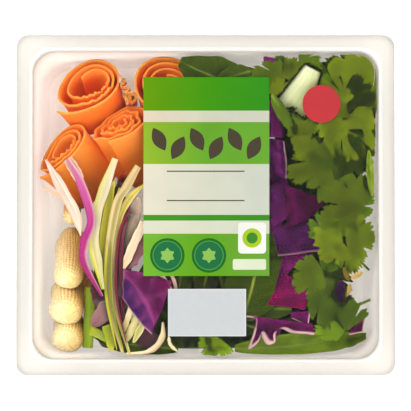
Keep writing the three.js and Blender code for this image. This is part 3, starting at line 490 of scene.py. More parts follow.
for name, roll in CARROT_ROLLS.items():
    surface, along, up = carrot_roll(**roll)
    carrot_skin = Skin()
    points, faces = thin_sheet(surface, CARROT_THICKNESS)
    colours = blend_colours(CARROT_COLOURS, up ** 2)
    # painted shade: the inner turns and the lower part of each ribbon are darkened
    deep_painted_shade = np.linspace(0, 1, len(up))[:, None] * (1 - up) ** 0.5
    colours = colours * (1 - deep_painted_shade[..., None] * HEART_PAINTED_SHADE)
    grain = np.stack([along, up * roll["length"]], axis=-1)
    carrot_skin.add(points, faces, twice(colours), twice(grain))
    stamp(points[:, 0], points[:, 1], unpressed(points[:, 2]))
    if name == "carrot_curl":  # a crinkled paring stands on edge beside the curl
        middle, _ = smooth_path(PARING_PATH, PARING_STEPS)
        rise = np.linspace(0, 1, 9)[None, :]
        step = np.arange(PARING_STEPS)[:, None]
        crimp = 0.5 * np.sin(step * 1.3) * rise ** 2
        z = PARING_FOOT + (PARING_TOP + 1.2 * np.sin(step * 0.9) - PARING_FOOT) * rise
        surface = np.stack([middle[:, :1] + crimp, middle[:, 1:] + crimp, z], axis=-1)
        points, faces = thin_sheet(surface, CARROT_THICKNESS)
        carrot_skin.add(points, faces, twice(blend_colours(CARROT_COLOURS, rise * np.ones_like(step))))
    carrot = carrot_skin.build(name + "_ribbon", pared_carrot)
    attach(carrot, "root")
    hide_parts(name)

# ------------------------------------------------------------------ baby corn
# Whole young cobs stand head to foot along the left wall, with rows of kernels about 2 mm wide. A cut
# stub lies beside them and the tip of another shows above.
KERNEL_LENGTH = 1.9
KERNEL_RELIEF = 0.6
KERNEL_POINTS = 5  # along and across each kernel
COB_ROWS = 30
SHOULDER = 0.66  # the share of a cob at which it starts to close
CORN_COLOURS = ["#fde8b8", "#f7d894", "#dfa446"]  # from the lit side to the side by the stalk, which is painted shade
CORN_COBS = {
    "corn_cob_1": dict(start=(-79.4, -17.5, 8.6), end=(-80.8, -46, 38.6), radius=9),
    "corn_cob_2": dict(start=(-81.2, -48, 10), end=(-81.8, -64.4, 38), radius=10.2),
    "corn_cob_3": dict(start=(-80.2, -68, 10), end=(-81.2, -80.4, 34), radius=9.4),
    "corn_stub": dict(start=(-69.8, -39, 12), end=(-69.6, -60.5, 23), radius=4.4, rows=12, warmth=1.0),
    "corn_tip": dict(start=(-79.6, 0.5, 7.5), end=(-78.6, -8, 34), radius=5.2, rows=16, warmth=0.5),
}

# Young corn kernels: matt, moist, a little translucent, in rows of small round grains.
corn_kernels = new_material("moist_young_corn")
tree = corn_kernels.node_tree
tint = add_node(tree, "ShaderNodeAttribute", attribute_name="Tint")
grain = add_node(tree, "ShaderNodeUVMap", uv_map="Grain")
kernels = add_node(
    tree, "ShaderNodeTexVoronoi", {"Vector": grain.outputs["UV"], "Scale": 1.0, "Randomness": 0.55})
kernel_value = add_node(
    tree, "ShaderNodeMapRange",
    {"Value": kernels.outputs["Distance"], "From Min": 0.1, "From Max": 0.7, "To Min": 1.06, "To Max": 0.76})
flesh = add_node(
    tree, "ShaderNodeHueSaturation",
    {"Color": tint.outputs["Color"], "Value": kernel_value.outputs["Result"]})
relief = add_node(
    tree, "ShaderNodeBump",
    {"Height": kernels.outputs["Distance"], "Strength": 0.6, "Distance": 0.0006}, invert=True)
skin = add_node(tree, "ShaderNodeBsdfPrincipled", {
    "Base Color": flesh.outputs["Color"], "Roughness": 0.5, "IOR": 1.4, "Specular IOR Level": 0.25,
    "Subsurface Weight": 0.85, "Subsurface Radius": (1, 0.75, 0.35), "Subsurface Scale": 0.008,
    "Normal": relief.outputs["Normal"]})
add_node(tree, "ShaderNodeOutputMaterial", {"Surface": skin.outputs["BSDF"]})


def corn_cob(start, end, radius, rows=COB_ROWS, warmth=0.0):
    """Rings of points up a cob, how warm the colour is at each with painted shade on one side, and where it
    is among the kernels.
    """
    start = np.array(start, float)
    along = np.array(end, float) - start
    length = np.linalg.norm(along)
    ahead = along / length
    up = np.cross(ahead, (1, 0, 0))
    up /= np.linalg.norm(up)
    side = np.cross(up, ahead)
    count = round(length / KERNEL_LENGTH)
    share = np.linspace(0, 1, KERNEL_POINTS * count)[:, None]
    angle = np.linspace(0, 2 * math.pi, KERNEL_POINTS * rows, endpoint=False)[None, :]
    shoulder = np.sqrt(np.clip(1 - np.clip((share - SHOULDER) / (1 - SHOULDER), 0, 1) ** 3.6, 0, 1))
    foot = 0.82 + 0.18 * np.clip(share / 0.2, 0, 1)
    lumps = 1 + 0.03 * np.sin(2 * angle + 9 * share) + 0.03 * np.sin(3 * angle + 8 * share + radius)
    twist = angle * rows / 2 + 5 * share + 0.5 * np.sin(3 * angle + 8 * share)
    domes = np.abs(np.sin(twist) * np.sin(math.pi * share * count + 0.5 * np.floor(twist / math.pi))) ** 0.7
    profile = radius * np.maximum(0.06, shoulder * foot) * lumps - KERNEL_RELIEF * (1 - domes) * shoulder
    rings = (
        start + share[..., None] * along
        + (profile * np.cos(angle))[..., None] * side
        + (profile * np.sin(angle))[..., None] * up
    )
    # painted shade deepens the colour towards the side by the stalk, painted light keeps the tip paler, and
    # the seams between kernels are deeper in colour
    warmth_and_shade = np.clip(0.4 + 0.6 * np.cos(angle) + 0.4 * (0.5 - share) + 0.7 * (1 - domes) ** 1.5 + warmth, 0, 1)
    warmth_and_shade = warmth_and_shade * (0.55 + 0.45 * np.clip((1 - share) * 5, 0, 1))
    kernel_place = np.stack(
        np.broadcast_arrays(share * length / KERNEL_LENGTH, angle / (2 * math.pi) * rows), axis=-1)
    return rings, warmth_and_shade, kernel_place


for name, cob in CORN_COBS.items():
    rings, warmth_and_shade, kernel_place = corn_cob(**cob)
    corn_skin = Skin()
    corn_skin.add(rings, loft(rings), blend_colours(CORN_COLOURS, warmth_and_shade).reshape(-1, 3), kernel_place)
    stamp(rings[..., 0], rings[..., 1], unpressed(rings[..., 2]))
    corn = corn_skin.build(name + "_kernels", corn_kernels)
    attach(corn, "root")
    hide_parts(name)

# ------------------------------------------------------------------ green stalk
# A length of smooth tender stalk lies beside the corn. It was cut square at both ends with a knife, and
# one side is paler than the other.
GREEN_STALK = dict(start=(-67.4, -48, 29), end=(-69.4, -83.4, 27), width=6.4, depth=3.6)
GREEN_STALK_COLOURS = ["#6f8206", "#7f9606", "#9cb622"]  # from the dark side to the pale one
GREEN_STALK_GRAIN = (35, 2.5)  # millimetres from end to end, and round it for each radian
STALK_STEPS = 60
STALK_SIDES = 48

# Tender stalk: wet, with soft ribs along it less than a millimetre apart.
STALK_RIB_LENGTH = 17
STALK_RIB_WIDTH = 0.7
tender_stalk = new_material("wet_tender_stalk")
tree = tender_stalk.node_tree
tint = add_node(tree, "ShaderNodeAttribute", attribute_name="Tint")
grain = add_node(tree, "ShaderNodeUVMap", uv_map="Grain")
drawn_out = add_node(
    tree, "ShaderNodeMapping",
    {"Vector": grain.outputs["UV"], "Scale": (1 / STALK_RIB_LENGTH, 1 / STALK_RIB_WIDTH, 1.0)})
ribs = add_node(
    tree, "ShaderNodeTexNoise", {"Vector": drawn_out.outputs["Vector"], "Scale": 1.0, "Detail": 2.0})
rib_value = add_node(
    tree, "ShaderNodeMapRange",
    {"Value": ribs.outputs["Fac"], "From Min": 0.3, "From Max": 0.7, "To Min": 0.88, "To Max": 1.1})
flesh = add_node(
    tree, "ShaderNodeHueSaturation", {"Color": tint.outputs["Color"], "Value": rib_value.outputs["Result"]})
relief = add_node(
    tree, "ShaderNodeBump", {"Height": ribs.outputs["Fac"], "Strength": 0.3, "Distance": 0.0008})
skin = add_node(tree, "ShaderNodeBsdfPrincipled", {
    "Base Color": flesh.outputs["Color"], "Roughness": 0.38, "IOR": 1.4, "Specular IOR Level": 0.3,
    "Subsurface Weight": 0.15, "Subsurface Radius": (0.7, 1, 0.3), "Subsurface Scale": 0.002,
    "Normal": relief.outputs["Normal"]})
add_node(tree, "ShaderNodeOutputMaterial", {"Surface": skin.outputs["BSDF"]})


def stalk(start, end, width, depth, flare=1.0, hollow=0.0, bow=0.0):
    """Rings of a stalk between cut ends, with the angle round it and the share along it."""
    start = np.array(start, float)
    along = np.array(end, float) - start
    across = np.cross((0, 0, 1), along)
    across /= np.linalg.norm(across)
    up = np.cross(along, across)
    up /= np.linalg.norm(up)
    share = np.linspace(0, 1, STALK_STEPS)[:, None]
    angle = np.linspace(0, 2 * math.pi, STALK_SIDES, endpoint=False)[None, :]
    reach = np.cos(angle)
    lip = np.where(np.sin(angle) > 0, 1.0, 0.3)
    rise = np.sin(angle) - hollow * (1 - reach ** 2) * lip
    end_round = 1 - 0.06 * np.clip(np.abs(2 * share - 1) - 0.94, 0, 1) / 0.06
    half = (1 + (flare - 1) * share) * width / 2 * end_round
    rings = (
        start + share[..., None] * along
        + (bow * np.sin(math.pi * share))[..., None] * up
        + (half * reach)[..., None] * across
        + (depth / 2 * rise * end_round)[..., None] * up
    )
    return rings, angle * np.ones_like(share), share * np.ones_like(angle)


rings, angle, share = stalk(**GREEN_STALK)
stalk_skin = Skin()
pale_side = 0.5 + 0.5 * np.cos(angle)
grain = np.stack([share, angle], axis=-1) * GREEN_STALK_GRAIN
stalk_skin.add(rings, loft(rings), blend_colours(GREEN_STALK_COLOURS, pale_side).reshape(-1, 3), grain)
stamp(rings[..., 0], rings[..., 1], unpressed(rings[..., 2]))
green_stalk = stalk_skin.build("cut_green_stalk", tender_stalk)
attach(green_stalk, "root")
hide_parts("green_stalk")

# ------------------------------------------------------------------ the inside of the heaps
# Under the pieces that show, each heap is a crush of the same leaves and shreds. Its colours are painted
# dark, a painted shade for the glimpses of it that show between them.
MOUND_RINGS = 40
MOUND_SIDES = 160
SCRAP_RELIEF = 1.3
HEAP_CORES = {  # each mound: middle, half its width and depth, and its height
    "shred_bundle": dict(
        slot="shreds", colours=["#2c1418", "#6b4a50", "#a0926a"],
        mounds=[(-54.6, -38, 11, 46, 38)]),
    "leaf_heap": dict(
        slot="smooth_leaf", colours=["#141c04", "#2c3c0a", "#47600f"],
        mounds=[(-2, -38, 34, 48, 30), (8, 22, 25, 36, 29), (11, 64, 24, 19, 30), (52, -79.6, 42, 6.2, 25)]),
    "coriander_heap": dict(
        slot="coriander", colours=["#10190a", "#26380c", "#425c16"],
        mounds=[(67, 20, 26, 62, 16), (54, 66, 18, 20, 16), (59, -52, 18, 24, 16)]),
}

# Crushed leaf and shred: moist, torn into scraps.
SCRAP_WIDTH = 6
crushed_leaf = new_material("moist_crushed_leaf")
tree = crushed_leaf.node_tree
tint = add_node(tree, "ShaderNodeAttribute", attribute_name="Tint")
place = add_node(tree, "ShaderNodeTexCoord")
scraps = add_node(
    tree, "ShaderNodeTexVoronoi",
    {"Vector": place.outputs["Object"], "Scale": 1 / (SCRAP_WIDTH * MM)})
scrap_value = add_node(
    tree, "ShaderNodeMapRange",
    {"Value": scraps.outputs["Distance"], "From Min": 0.0, "From Max": 0.7, "To Min": 1.2, "To Max": 0.5})
flesh = add_node(
    tree, "ShaderNodeHueSaturation",
    {"Color": tint.outputs["Color"], "Value": scrap_value.outputs["Result"]})
relief = add_node(
    tree, "ShaderNodeBump", {"Height": scraps.outputs["Distance"], "Strength": 0.6, "Distance": 0.002})
skin = add_node(tree, "ShaderNodeBsdfPrincipled", {
    "Base Color": flesh.outputs["Color"], "Roughness": 0.55, "IOR": 1.4, "Specular IOR Level": 0.1,
    "Normal": relief.outputs["Normal"]})
add_node(tree, "ShaderNodeOutputMaterial", {"Surface": skin.outputs["BSDF"]})


def ripple(x, y, wavelength, seed):
    """Smooth unevenness between about -1 and 1 over places in plan."""
    draw = np.random.default_rng(seed)
    total = 0
    for _ in range(5):
        heading = draw.uniform(0, 2 * math.pi)
        turns = 2 * math.pi / (wavelength * draw.uniform(0.7, 1.5))
        phase = draw.uniform(0, 2 * math.pi)
        total = total + np.sin(turns * (x * math.cos(heading) + y * math.sin(heading)) + phase)
    return total / 3


for name, core in HEAP_CORES.items():
    core_skin = Skin()
    for x, y, half_x, half_y, top in core["mounds"]:
        share = np.linspace(0, 1, MOUND_RINGS)[:, None]
        angle = np.linspace(0, 2 * math.pi, MOUND_SIDES, endpoint=False)[None, :]
        corner = (np.abs(np.cos(angle)) ** 4 + np.abs(np.sin(angle)) ** 4) ** -0.25
        out = np.interp(share, [0, 0.3, 0.55, 1], [0.9, 1, 0.9, 0.02])
        height = np.interp(share, [0, 0.3, 0.55, 1], [FOOD_FLOOR, 0.75 * top, top - 1, top])
        px = x + half_x * out * corner * np.cos(angle)
        py = y + half_y * out * corner * np.sin(angle)
        px, py, _ = kept_in(px, py, height - 1.5)
        scrap = ripple(px, py, 7, 3) * np.clip(share * 3, 0, 1)
        rings = np.stack([px, py, height + SCRAP_RELIEF * scrap], axis=-1)
        # painted shade: the crush is coloured dark, and lighter where its scraps rise, as painted light
        core_skin.add(rings, loft(rings), blend_colours(core["colours"], 0.5 + 0.4 * scrap).reshape(-1, 3))
        stamp(px, py, rings[..., 2])
    crush = core_skin.build(name + "_shaded_crush", crushed_leaf)
    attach(crush, "root")
    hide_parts(name)

# ------------------------------------------------------------------ smooth leaves
# Young spinach and pak choi leaves, thin and satin, with a pale sunken midrib and arching side veins. They
# are packed whole, lie one over another, and are bent in by the tray's walls.
SMOOTH_LEAF_THICKNESS = 0.5
SMOOTH_LEAF_SAG = 0.01
SMOOTH_LEAF_ALONG = 1.3  # points a millimetre
SMOOTH_LEAF_ACROSS = 27  # points
SIDE_VEIN_SPACING = 6.5
SMOOTH_LEAVES = [  # each from its base, with the way it points in degrees
    dict(x=-6, y=-10, heading=240, length=40, width=26, tint="#212c00"),
    dict(x=-24, y=-80, heading=172, length=42, width=19, tint="#1f2d00"),
    dict(x=-16, y=-84, heading=174, length=44, width=13, tint="#283600"),
    dict(x=4, y=6, heading=100, length=50, width=30, tint="#233000"),
    dict(x=24, y=30, heading=250, length=40, width=24, tint="#1b2500"),
    dict(x=-6, y=-30, heading=200, length=34, width=24, tint="#273400"),
    dict(x=36, y=-44, heading=120, length=40, width=22, tint="#152000"),
    dict(x=40, y=-56, heading=92, length=48, width=18, tint="#212c00", cup=3.5),
    # painted shade: this very dark leaf lies under the cabbage and stands in for the shade in the gap between
    # the square and the ruffle
    dict(x=62, y=-65, heading=186, length=44, width=15, tint="#0e1700"),
    dict(x=17, y=-83.4, heading=1, length=78, width=15, tint="#566c0c", cup=3, bend=4, paler="#7c8c3c"),
    dict(x=30, y=-72, heading=158, length=36, width=18, tint="#1b2800"),
    dict(x=-14, y=-38, heading=262, length=16, width=14, tint="#233000"),
    dict(x=2, y=-36, heading=255, length=17, width=15, tint="#192300"),
    dict(x=16, y=-34, heading=262, length=18, width=14, tint="#283401"),
    dict(x=50, y=-60.5, heading=178, length=46, width=15, tint="#2c3c02"),
    dict(x=21, y=-66, heading=68, length=58, width=34, tint="#253200", cup=2.4, bend=12, paler="#747f2d"),
    dict(x=38, y=70, heading=176, length=40, width=20, tint="#1f2d00"),
    dict(x=24, y=68, heading=164, length=42, width=26, tint="#283601", bend=-6),
    dict(x=26, y=78, heading=196, length=20, width=12, tint="#2e3c02"),
    dict(x=90, y=66, heading=96, length=22, width=16, tint="#162300"),
    dict(x=74, y=72, heading=110, length=18, width=13, tint="#142000"),
    dict(x=96, y=20, heading=88, length=26, width=9, tint="#2f3e02"),
]

# Young leaf: a thin wax bloom over dark green, satin in the light. Its cells are drawn as coarse as they
# need to be to show.
LEAF_CELL = 2.4
young_leaf = new_material("waxy_young_leaf")
tree = young_leaf.node_tree
tint = add_node(tree, "ShaderNodeAttribute", attribute_name="Tint")
place = add_node(tree, "ShaderNodeTexCoord")
cells = add_node(
    tree, "ShaderNodeTexNoise",
    {"Vector": place.outputs["Object"], "Scale": 1 / (LEAF_CELL * MM), "Detail": 4.0})
cell_value = add_node(
    tree, "ShaderNodeMapRange",
    {"Value": cells.outputs["Fac"], "From Min": 0.3, "From Max": 0.7, "To Min": 0.86, "To Max": 1.14})
flesh = add_node(
    tree, "ShaderNodeHueSaturation",
    {"Color": tint.outputs["Color"], "Value": cell_value.outputs["Result"]})
relief = add_node(
    tree, "ShaderNodeBump", {"Height": cells.outputs["Fac"], "Strength": 0.35, "Distance": 0.0006})
skin = add_node(tree, "ShaderNodeBsdfPrincipled", {
    "Base Color": flesh.outputs["Color"], "Roughness": 0.42, "IOR": 1.42, "Specular IOR Level": 0.05,
    "Normal": relief.outputs["Normal"]})
add_node(tree, "ShaderNodeOutputMaterial", {"Surface": skin.outputs["BSDF"]})


laid = []  # pieces that have their place and wait for their neighbours before they are shaded


def smooth_leaf(skin, x, y, heading, length, width, tint, cup=2.0, bend=0.0, paler="#6c7c2c"):
    """Adds one leaf from its base at (x, y) to its tip to the skin, and lays it on the pile."""
    angle = math.radians(heading)
    u = np.linspace(0, 1, max(24, int(length * SMOOTH_LEAF_ALONG)))[:, None]
    v = np.linspace(-1, 1, SMOOTH_LEAF_ACROSS)[None, :]
    half = width / 2 * (0.06 + 0.94 * np.sin(math.pi * (0.04 + 0.92 * u ** 0.85)) ** 0.8)
    side = v * half * (1 + 0.04 * np.sin(21 * u + 3 * np.sign(v)))
    turned = angle + math.radians(bend) * u
    px = x + np.cos(turned) * length * u - np.sin(turned) * side
    py = y + np.sin(turned) * length * u + np.cos(turned) * side
    midrib = np.exp(-((side / (0.7 * (1.1 - u))) ** 2))
    vein_place = u * length / SIDE_VEIN_SPACING - np.abs(side) / 8
    vein_place = vein_place + 0.12 * ripple(px, py, 8, 12)
    veins = np.exp(-((np.abs((vein_place % 1) - 0.5) / 0.07) ** 2)) * np.clip(np.abs(v) * 5, 0, 1)
    quilt = 0.4 * np.abs(np.sin(math.pi * (vein_place + 0.5))) * np.clip(np.abs(v) * 3, 0, 1)
    wave = 1.1 * (1 + ripple(px, py, 16, int(length * 7 + x)))
    cover = lay_over(SMOOTH_LEAF_SAG)
    height = height_at(cover, px, py) + SMOOTH_LEAF_THICKNESS + cup * v ** 2 + wave + quilt - 0.4 * midrib
    px, py, height = kept_in(px, py, height)
    z = pressed(height)
    points, faces = thin_sheet(np.stack([px, py, z], axis=-1), SMOOTH_LEAF_THICKNESS)
    pale = np.clip(0.85 * midrib + 0.16 * veins, 0, 1) * np.ones_like(u)
    colours = blend_colours([tint, paler], pale)
    # painted light on the raised quilting between the veins and painted shade down one half of the leaf, over
    # random tone
    colours = colours * (0.9 + 0.2 * quilt + 0.14 * ripple(px, py, 11, 5) - 0.12 * v)[..., None]
    stamp(px, py, height)
    laid.append((skin, points, faces, colours, None, px, py, height))


def settle(depth_shade, edge_shade, times=7):
    """Adds the laid pieces to their skins with painted shade where their neighbours stand higher or cover
    them, and a little painted light where they stand above them.
    """
    around = soften(pile, times)
    beside = pile
    for _ in range(2):  # a covering edge darkens two cells beside it
        wide = np.pad(beside, 1, mode="edge")
        beside = np.max([wide[2:, 1:-1], wide[:-2, 1:-1], wide[1:-1, 2:], wide[1:-1, :-2], beside], axis=0)
    for skin, points, faces, colours, grain, px, py, height in laid:
        under = height_at(around, px, py) - height
        step = np.clip(height_at(beside, px, py) - height - 0.9, 0, 1.3)
        shade = np.clip(1 - depth_shade * under - edge_shade * step, 0.22, 1.15)
        skin.add(points, faces, twice(colours * shade[..., None]), grain)
    laid.clear()


leaf_skin = Skin()
for leaf in SMOOTH_LEAVES:
    smooth_leaf(leaf_skin, **leaf)
settle(0.12, 0.16)
smooth_leaves = leaf_skin.build("young_salad_leaves", young_leaf)
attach(smooth_leaves, "root")
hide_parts("leaf_heap")

# ------------------------------------------------------------------ onion and leek shreds
# Red onion, spring onion and leek cut into long strips lie in a loose sheaf, white at the root end and
# yellow-green or magenta along their length, with a crease or a curl across.
SHRED_THICKNESS = 0.9
SHRED_SAG = 0.02
SHRED_ALONG = 1.2  # points a millimetre
SHRED_ACROSS = 17  # points
GREY_WHITE = ["#a7927f", "#9d8974", "#8f7a65"]
ONION_WHITE = ["#c2aa9c", "#c4b09e", "#b8a28c"]
ONION_PINK = ["#bba79f", "#b478a0", "#98407c", "#7c2c64", "#501c40", "#381428"]
ONION_DARK = ["#6e2831", "#571728", "#622333"]
LEEK_YELLOW = ["#b8a832", "#a89c1c", "#9a9416", "#8c8c14", "#7c8812"]
LEEK_STRIPES = ["#b7a46b", "#8e851a", "#c2af88", "#6e700f", "#ad9f5d", "#bba982"]
SHREDS = [
    # painted shadow: this dark red strip lies lowest, below the carrot rolls, and stands in for the shade
    # under them
    dict(path=[(-46, 19), (-49, 12), (-52, 4)], width=6, colours=["#7a2410", "#4a140a"]),
    dict(path=[(-38.7, 5), (-43.9, -12), (-47.4, -28)], width=8, colours=GREY_WHITE, crease=0.8),
    dict(path=[(-34, -16), (-41, -28), (-46, -37)], width=8, colours=["#8d615e", "#673843"], crease=0.5),
    dict(path=[(-30, 0), (-38, -14), (-44, -26)], width=4, colours=["#c1a38b", "#b6997e"], crease=0.4),
    dict(path=[(-45, 0), (-49, -20), (-49.5, -50), (-46.8, -73)], width=3.2, colours=ONION_DARK),
    dict(path=[(-65, -44), (-62, -56), (-58, -66)], width=7, colours=["#4a1925", "#310e18"]),
    dict(path=[(-40, -70), (-35, -77), (-27, -78)], width=11, colours=["#3c111c", "#23080f"], tip=0.8),
    dict(path=[(-56, -55), (-60, -63), (-66, -70.5)], width=9, colours=["#8a6a66", "#6f4b4b"], tip=0.15),
    dict(path=[(-37, -60), (-42, -70), (-46.5, -80)], width=4.5, tip=1, colours=["#c8b98b", "#b5ac6e"],
         across=["#979334", "#cbbb99", "#a8a257"]),
    dict(path=[(-32, -61), (-37, -70), (-42, -80)], width=4, tip=1, colours=["#c1b28b", "#aca664"],
         across=["#c3b689", "#838729", "#c9b997"]),
    dict(path=[(-43, -58), (-46, -68), (-49, -76)], width=3.2, colours=["#c8b497", "#9b9640"], tip=1),
    dict(path=[(-67, -73), (-60, -76), (-53, -80)], width=5, colours=["#838b0c", "#67740f"], tip=1),
    dict(path=[(-58, -70), (-55.5, -78), (-54.5, -85)], width=5, colours=["#7a840d", "#989640"], tip=1),
    dict(path=[(-35.8, -10), (-42.7, -24.5), (-47.4, -37)], width=5, colours=["#d1bca3", "#c2ad8d"], tip=1),
    dict(path=[(-46, -87), (-36, -86.4), (-29, -82.5), (-25, -76), (-24.8, -68)], width=3.4, tip=0.7,
         colours=["#cbbc9a", "#c4b68e", "#9b9357"], across=["#77374a", "#c1b28e", "#cebea1"]),
    dict(path=[(-21.5, -76), (-20.5, -81), (-16, -85.5)], width=1.8, colours=["#c8b99d", "#b6ad83"]),
    dict(path=[(-27, -38), (-23, -45), (-19, -51)], width=2.6, colours=["#c9b29d", "#b58d89"]),
    dict(path=[(-21, -38), (-18, -45), (-17, -52)], width=2, colours=["#c4a990", "#8c5b65"]),
    dict(path=[(-50, 10), (-54, -4), (-56.6, -22), (-56, -40), (-55, -52)], width=3.2, colours=LEEK_YELLOW,
         across=["#c9b54e", "#777708", "#bdad34"]),
    dict(path=[(-53, 14), (-56.7, 0), (-59.6, -20), (-59, -36), (-57.8, -50)], width=4.4,
         colours=LEEK_YELLOW, across=["#c4b03c", "#8e8a10", "#6a6b06", "#b3a529"]),
    dict(path=[(-34, 13.3), (-44, 4), (-51, -10.5), (-53.4, -32), (-53.4, -55), (-44, -87)], width=4.2,
         colours=["#ccb240", "#bba636", "#b6a85d", "#b6a96c", "#aea462"], across=LEEK_STRIPES, crease=0.4),
    dict(path=[(-39.3, 22.6), (-46.2, 10.4), (-52, -0.6), (-56.6, -30), (-55.6, -58), (-48, -86.5)],
         width=5, tip=0.8, colours=["#cba68d", "#b8a07b", "#b09e6c", "#a49a56", "#9d964e"],
         across=["#8c8129", "#c9b08e", "#6e6e1b", "#bba67a"], crease=0.6),
    dict(path=[(-43.5, -2), (-49.5, -14), (-52, -34), (-51.4, -56), (-46, -80)], width=1.5,
         colours=ONION_DARK),
    dict(path=[(-55, -24), (-55.6, -42), (-54.4, -60), (-47.5, -84)], width=1.1, colours=["#6a6d0c"]),
    dict(path=[(-57, -22), (-58.2, -40), (-57, -58), (-51.5, -84)], width=1.5,
         colours=["#b3a84f", "#89861f", "#a39c48"]),
    dict(path=[(-52.6, 27), (-59, 9.2), (-63.6, -6), (-65, -22), (-62.4, -36), (-59.6, -49)],
         width=6.2, tip=0.6, colours=["#b8ab9a", "#b8ac92", "#b2aa80", "#a6a254", "#8c9230"],
         across=["#98922c", "#b8b06c", "#beb296", "#b5aa8c"], crease=0.5),
    dict(path=[(-80.4, 27), (-76, 20), (-72, 12)], width=6.4, colours=["#cea991", "#c69d89"], tip=0.8),
    dict(path=[(-80.4, 27), (-72.9, 13.3), (-66.6, -8), (-70.4, -22), (-70.4, -34), (-60, -53)],
         width=5, tip=0.4, colours=ONION_PINK, across=["#862c5a", "#a1406d", "#943766", "#cca7a4"],
         crease=0.4),
    dict(path=[(-95, 10.4), (-83.3, 4), (-76, -7)], width=2, colours=["#ce9e83", "#c9a58e"]),
    dict(path=[(-93.2, 26.6), (-83, 8.6), (-75.6, -5), (-72.4, -18)], width=5.8, tip=0.12,
         colours=ONION_WHITE, across=["#bf9c8c", "#c9b8aa", "#cabaa8", "#b89c88"], crease=0.9, end=0.1),
    dict(path=[(-50.4, 76), (-49.6, 74), (-50.2, 71.4)], width=1.6, colours=["#866b5e", "#bda08b"]),
]

# Cut onion and leek: wet, glossy, with fine fibres along the strip every millimetre.
ONION_FIBRE_LENGTH = 33
ONION_FIBRE_WIDTH = 0.9
cut_onion = new_material("wet_cut_onion")
tree = cut_onion.node_tree
tint = add_node(tree, "ShaderNodeAttribute", attribute_name="Tint")
grain = add_node(tree, "ShaderNodeUVMap", uv_map="Grain")
drawn_out = add_node(
    tree, "ShaderNodeMapping",
    {"Vector": grain.outputs["UV"], "Scale": (1 / ONION_FIBRE_LENGTH, 1 / ONION_FIBRE_WIDTH, 1.0)})
fibres = add_node(
    tree, "ShaderNodeTexNoise", {"Vector": drawn_out.outputs["Vector"], "Scale": 1.0, "Detail": 2.0})
fibre_value = add_node(
    tree, "ShaderNodeMapRange",
    {"Value": fibres.outputs["Fac"], "From Min": 0.3, "From Max": 0.7, "To Min": 0.84, "To Max": 1.08})
flesh = add_node(
    tree, "ShaderNodeHueSaturation",
    {"Color": tint.outputs["Color"], "Saturation": 1.12,
     "Value": fibre_value.outputs["Result"]})
relief = add_node(
    tree, "ShaderNodeBump", {"Height": fibres.outputs["Fac"], "Strength": 0.4, "Distance": 0.0006})
skin = add_node(tree, "ShaderNodeBsdfPrincipled", {
    "Base Color": flesh.outputs["Color"], "Roughness": 0.3, "IOR": 1.4, "Specular IOR Level": 0.3,
    "Subsurface Weight": 0.1, "Subsurface Radius": (1, 0.9, 0.6), "Subsurface Scale": 0.002,
    "Normal": relief.outputs["Normal"]})
add_node(tree, "ShaderNodeOutputMaterial", {"Surface": skin.outputs["BSDF"]})


def lay_shred(path, width, colours, tip=0.3, end=0.3, across=None, crease=0.0):
    """Adds one strip to the shreds and lays it on the pile. tip and end are how wide it starts and ends."""
    reach = sum(math.dist(a, b) for a, b in zip(path, path[1:]))
    middle, along = smooth_path(path, int(reach * SHRED_ALONG) + 12)
    share = np.linspace(0, 1, len(middle))[:, None]
    v = np.linspace(-1, 1, SHRED_ACROSS)[None, :]
    narrowing = np.minimum(1, tip + (1 - tip) * 5 * share) * np.minimum(1, end + (1 - end) * 4 * (1 - share))
    half = width / 2 * narrowing * (1 + 0.06 * np.sin(23 * share + path[0][0]))
    px = middle[:, :1] - along[:, 1:] * half * v
    py = middle[:, 1:] + along[:, :1] * half * v
    cover = lay_over(SHRED_SAG)
    lean = 0.35 * np.sin(5 * share + path[0][1])
    height = height_at(cover, middle[:, 0], middle[:, 1])[:, None]
    height = height + SHRED_THICKNESS + crease * np.abs(v) * 1.6 + lean * v * half
    px, py, height = kept_in(px, py, height)
    z = pressed(height)
    points, faces = thin_sheet(np.stack([px, py, z], axis=-1), SHRED_THICKNESS)
    tints = blend_colours(colours, share * np.ones_like(v))
    if across:
        waver = 0.06 * np.sin(9 * share + path[0][1])
        tints = 0.35 * tints + 0.65 * blend_colours(across, 0.5 + v / 2 + waver)
    grain = np.stack([share * reach * np.ones_like(v), half * v + path[0][0]], axis=-1)
    stamp(px, py, height * np.ones_like(px))
    laid.append((shred_skin, points, faces, tints, twice(grain), px, py, height))


shred_skin = Skin()
for strip in SHREDS:
    lay_shred(**strip)
settle(0.1, 0.1)
shreds = shred_skin.build("onion_and_leek_shreds", cut_onion)
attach(shreds, "root")
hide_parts("shred_bundle")

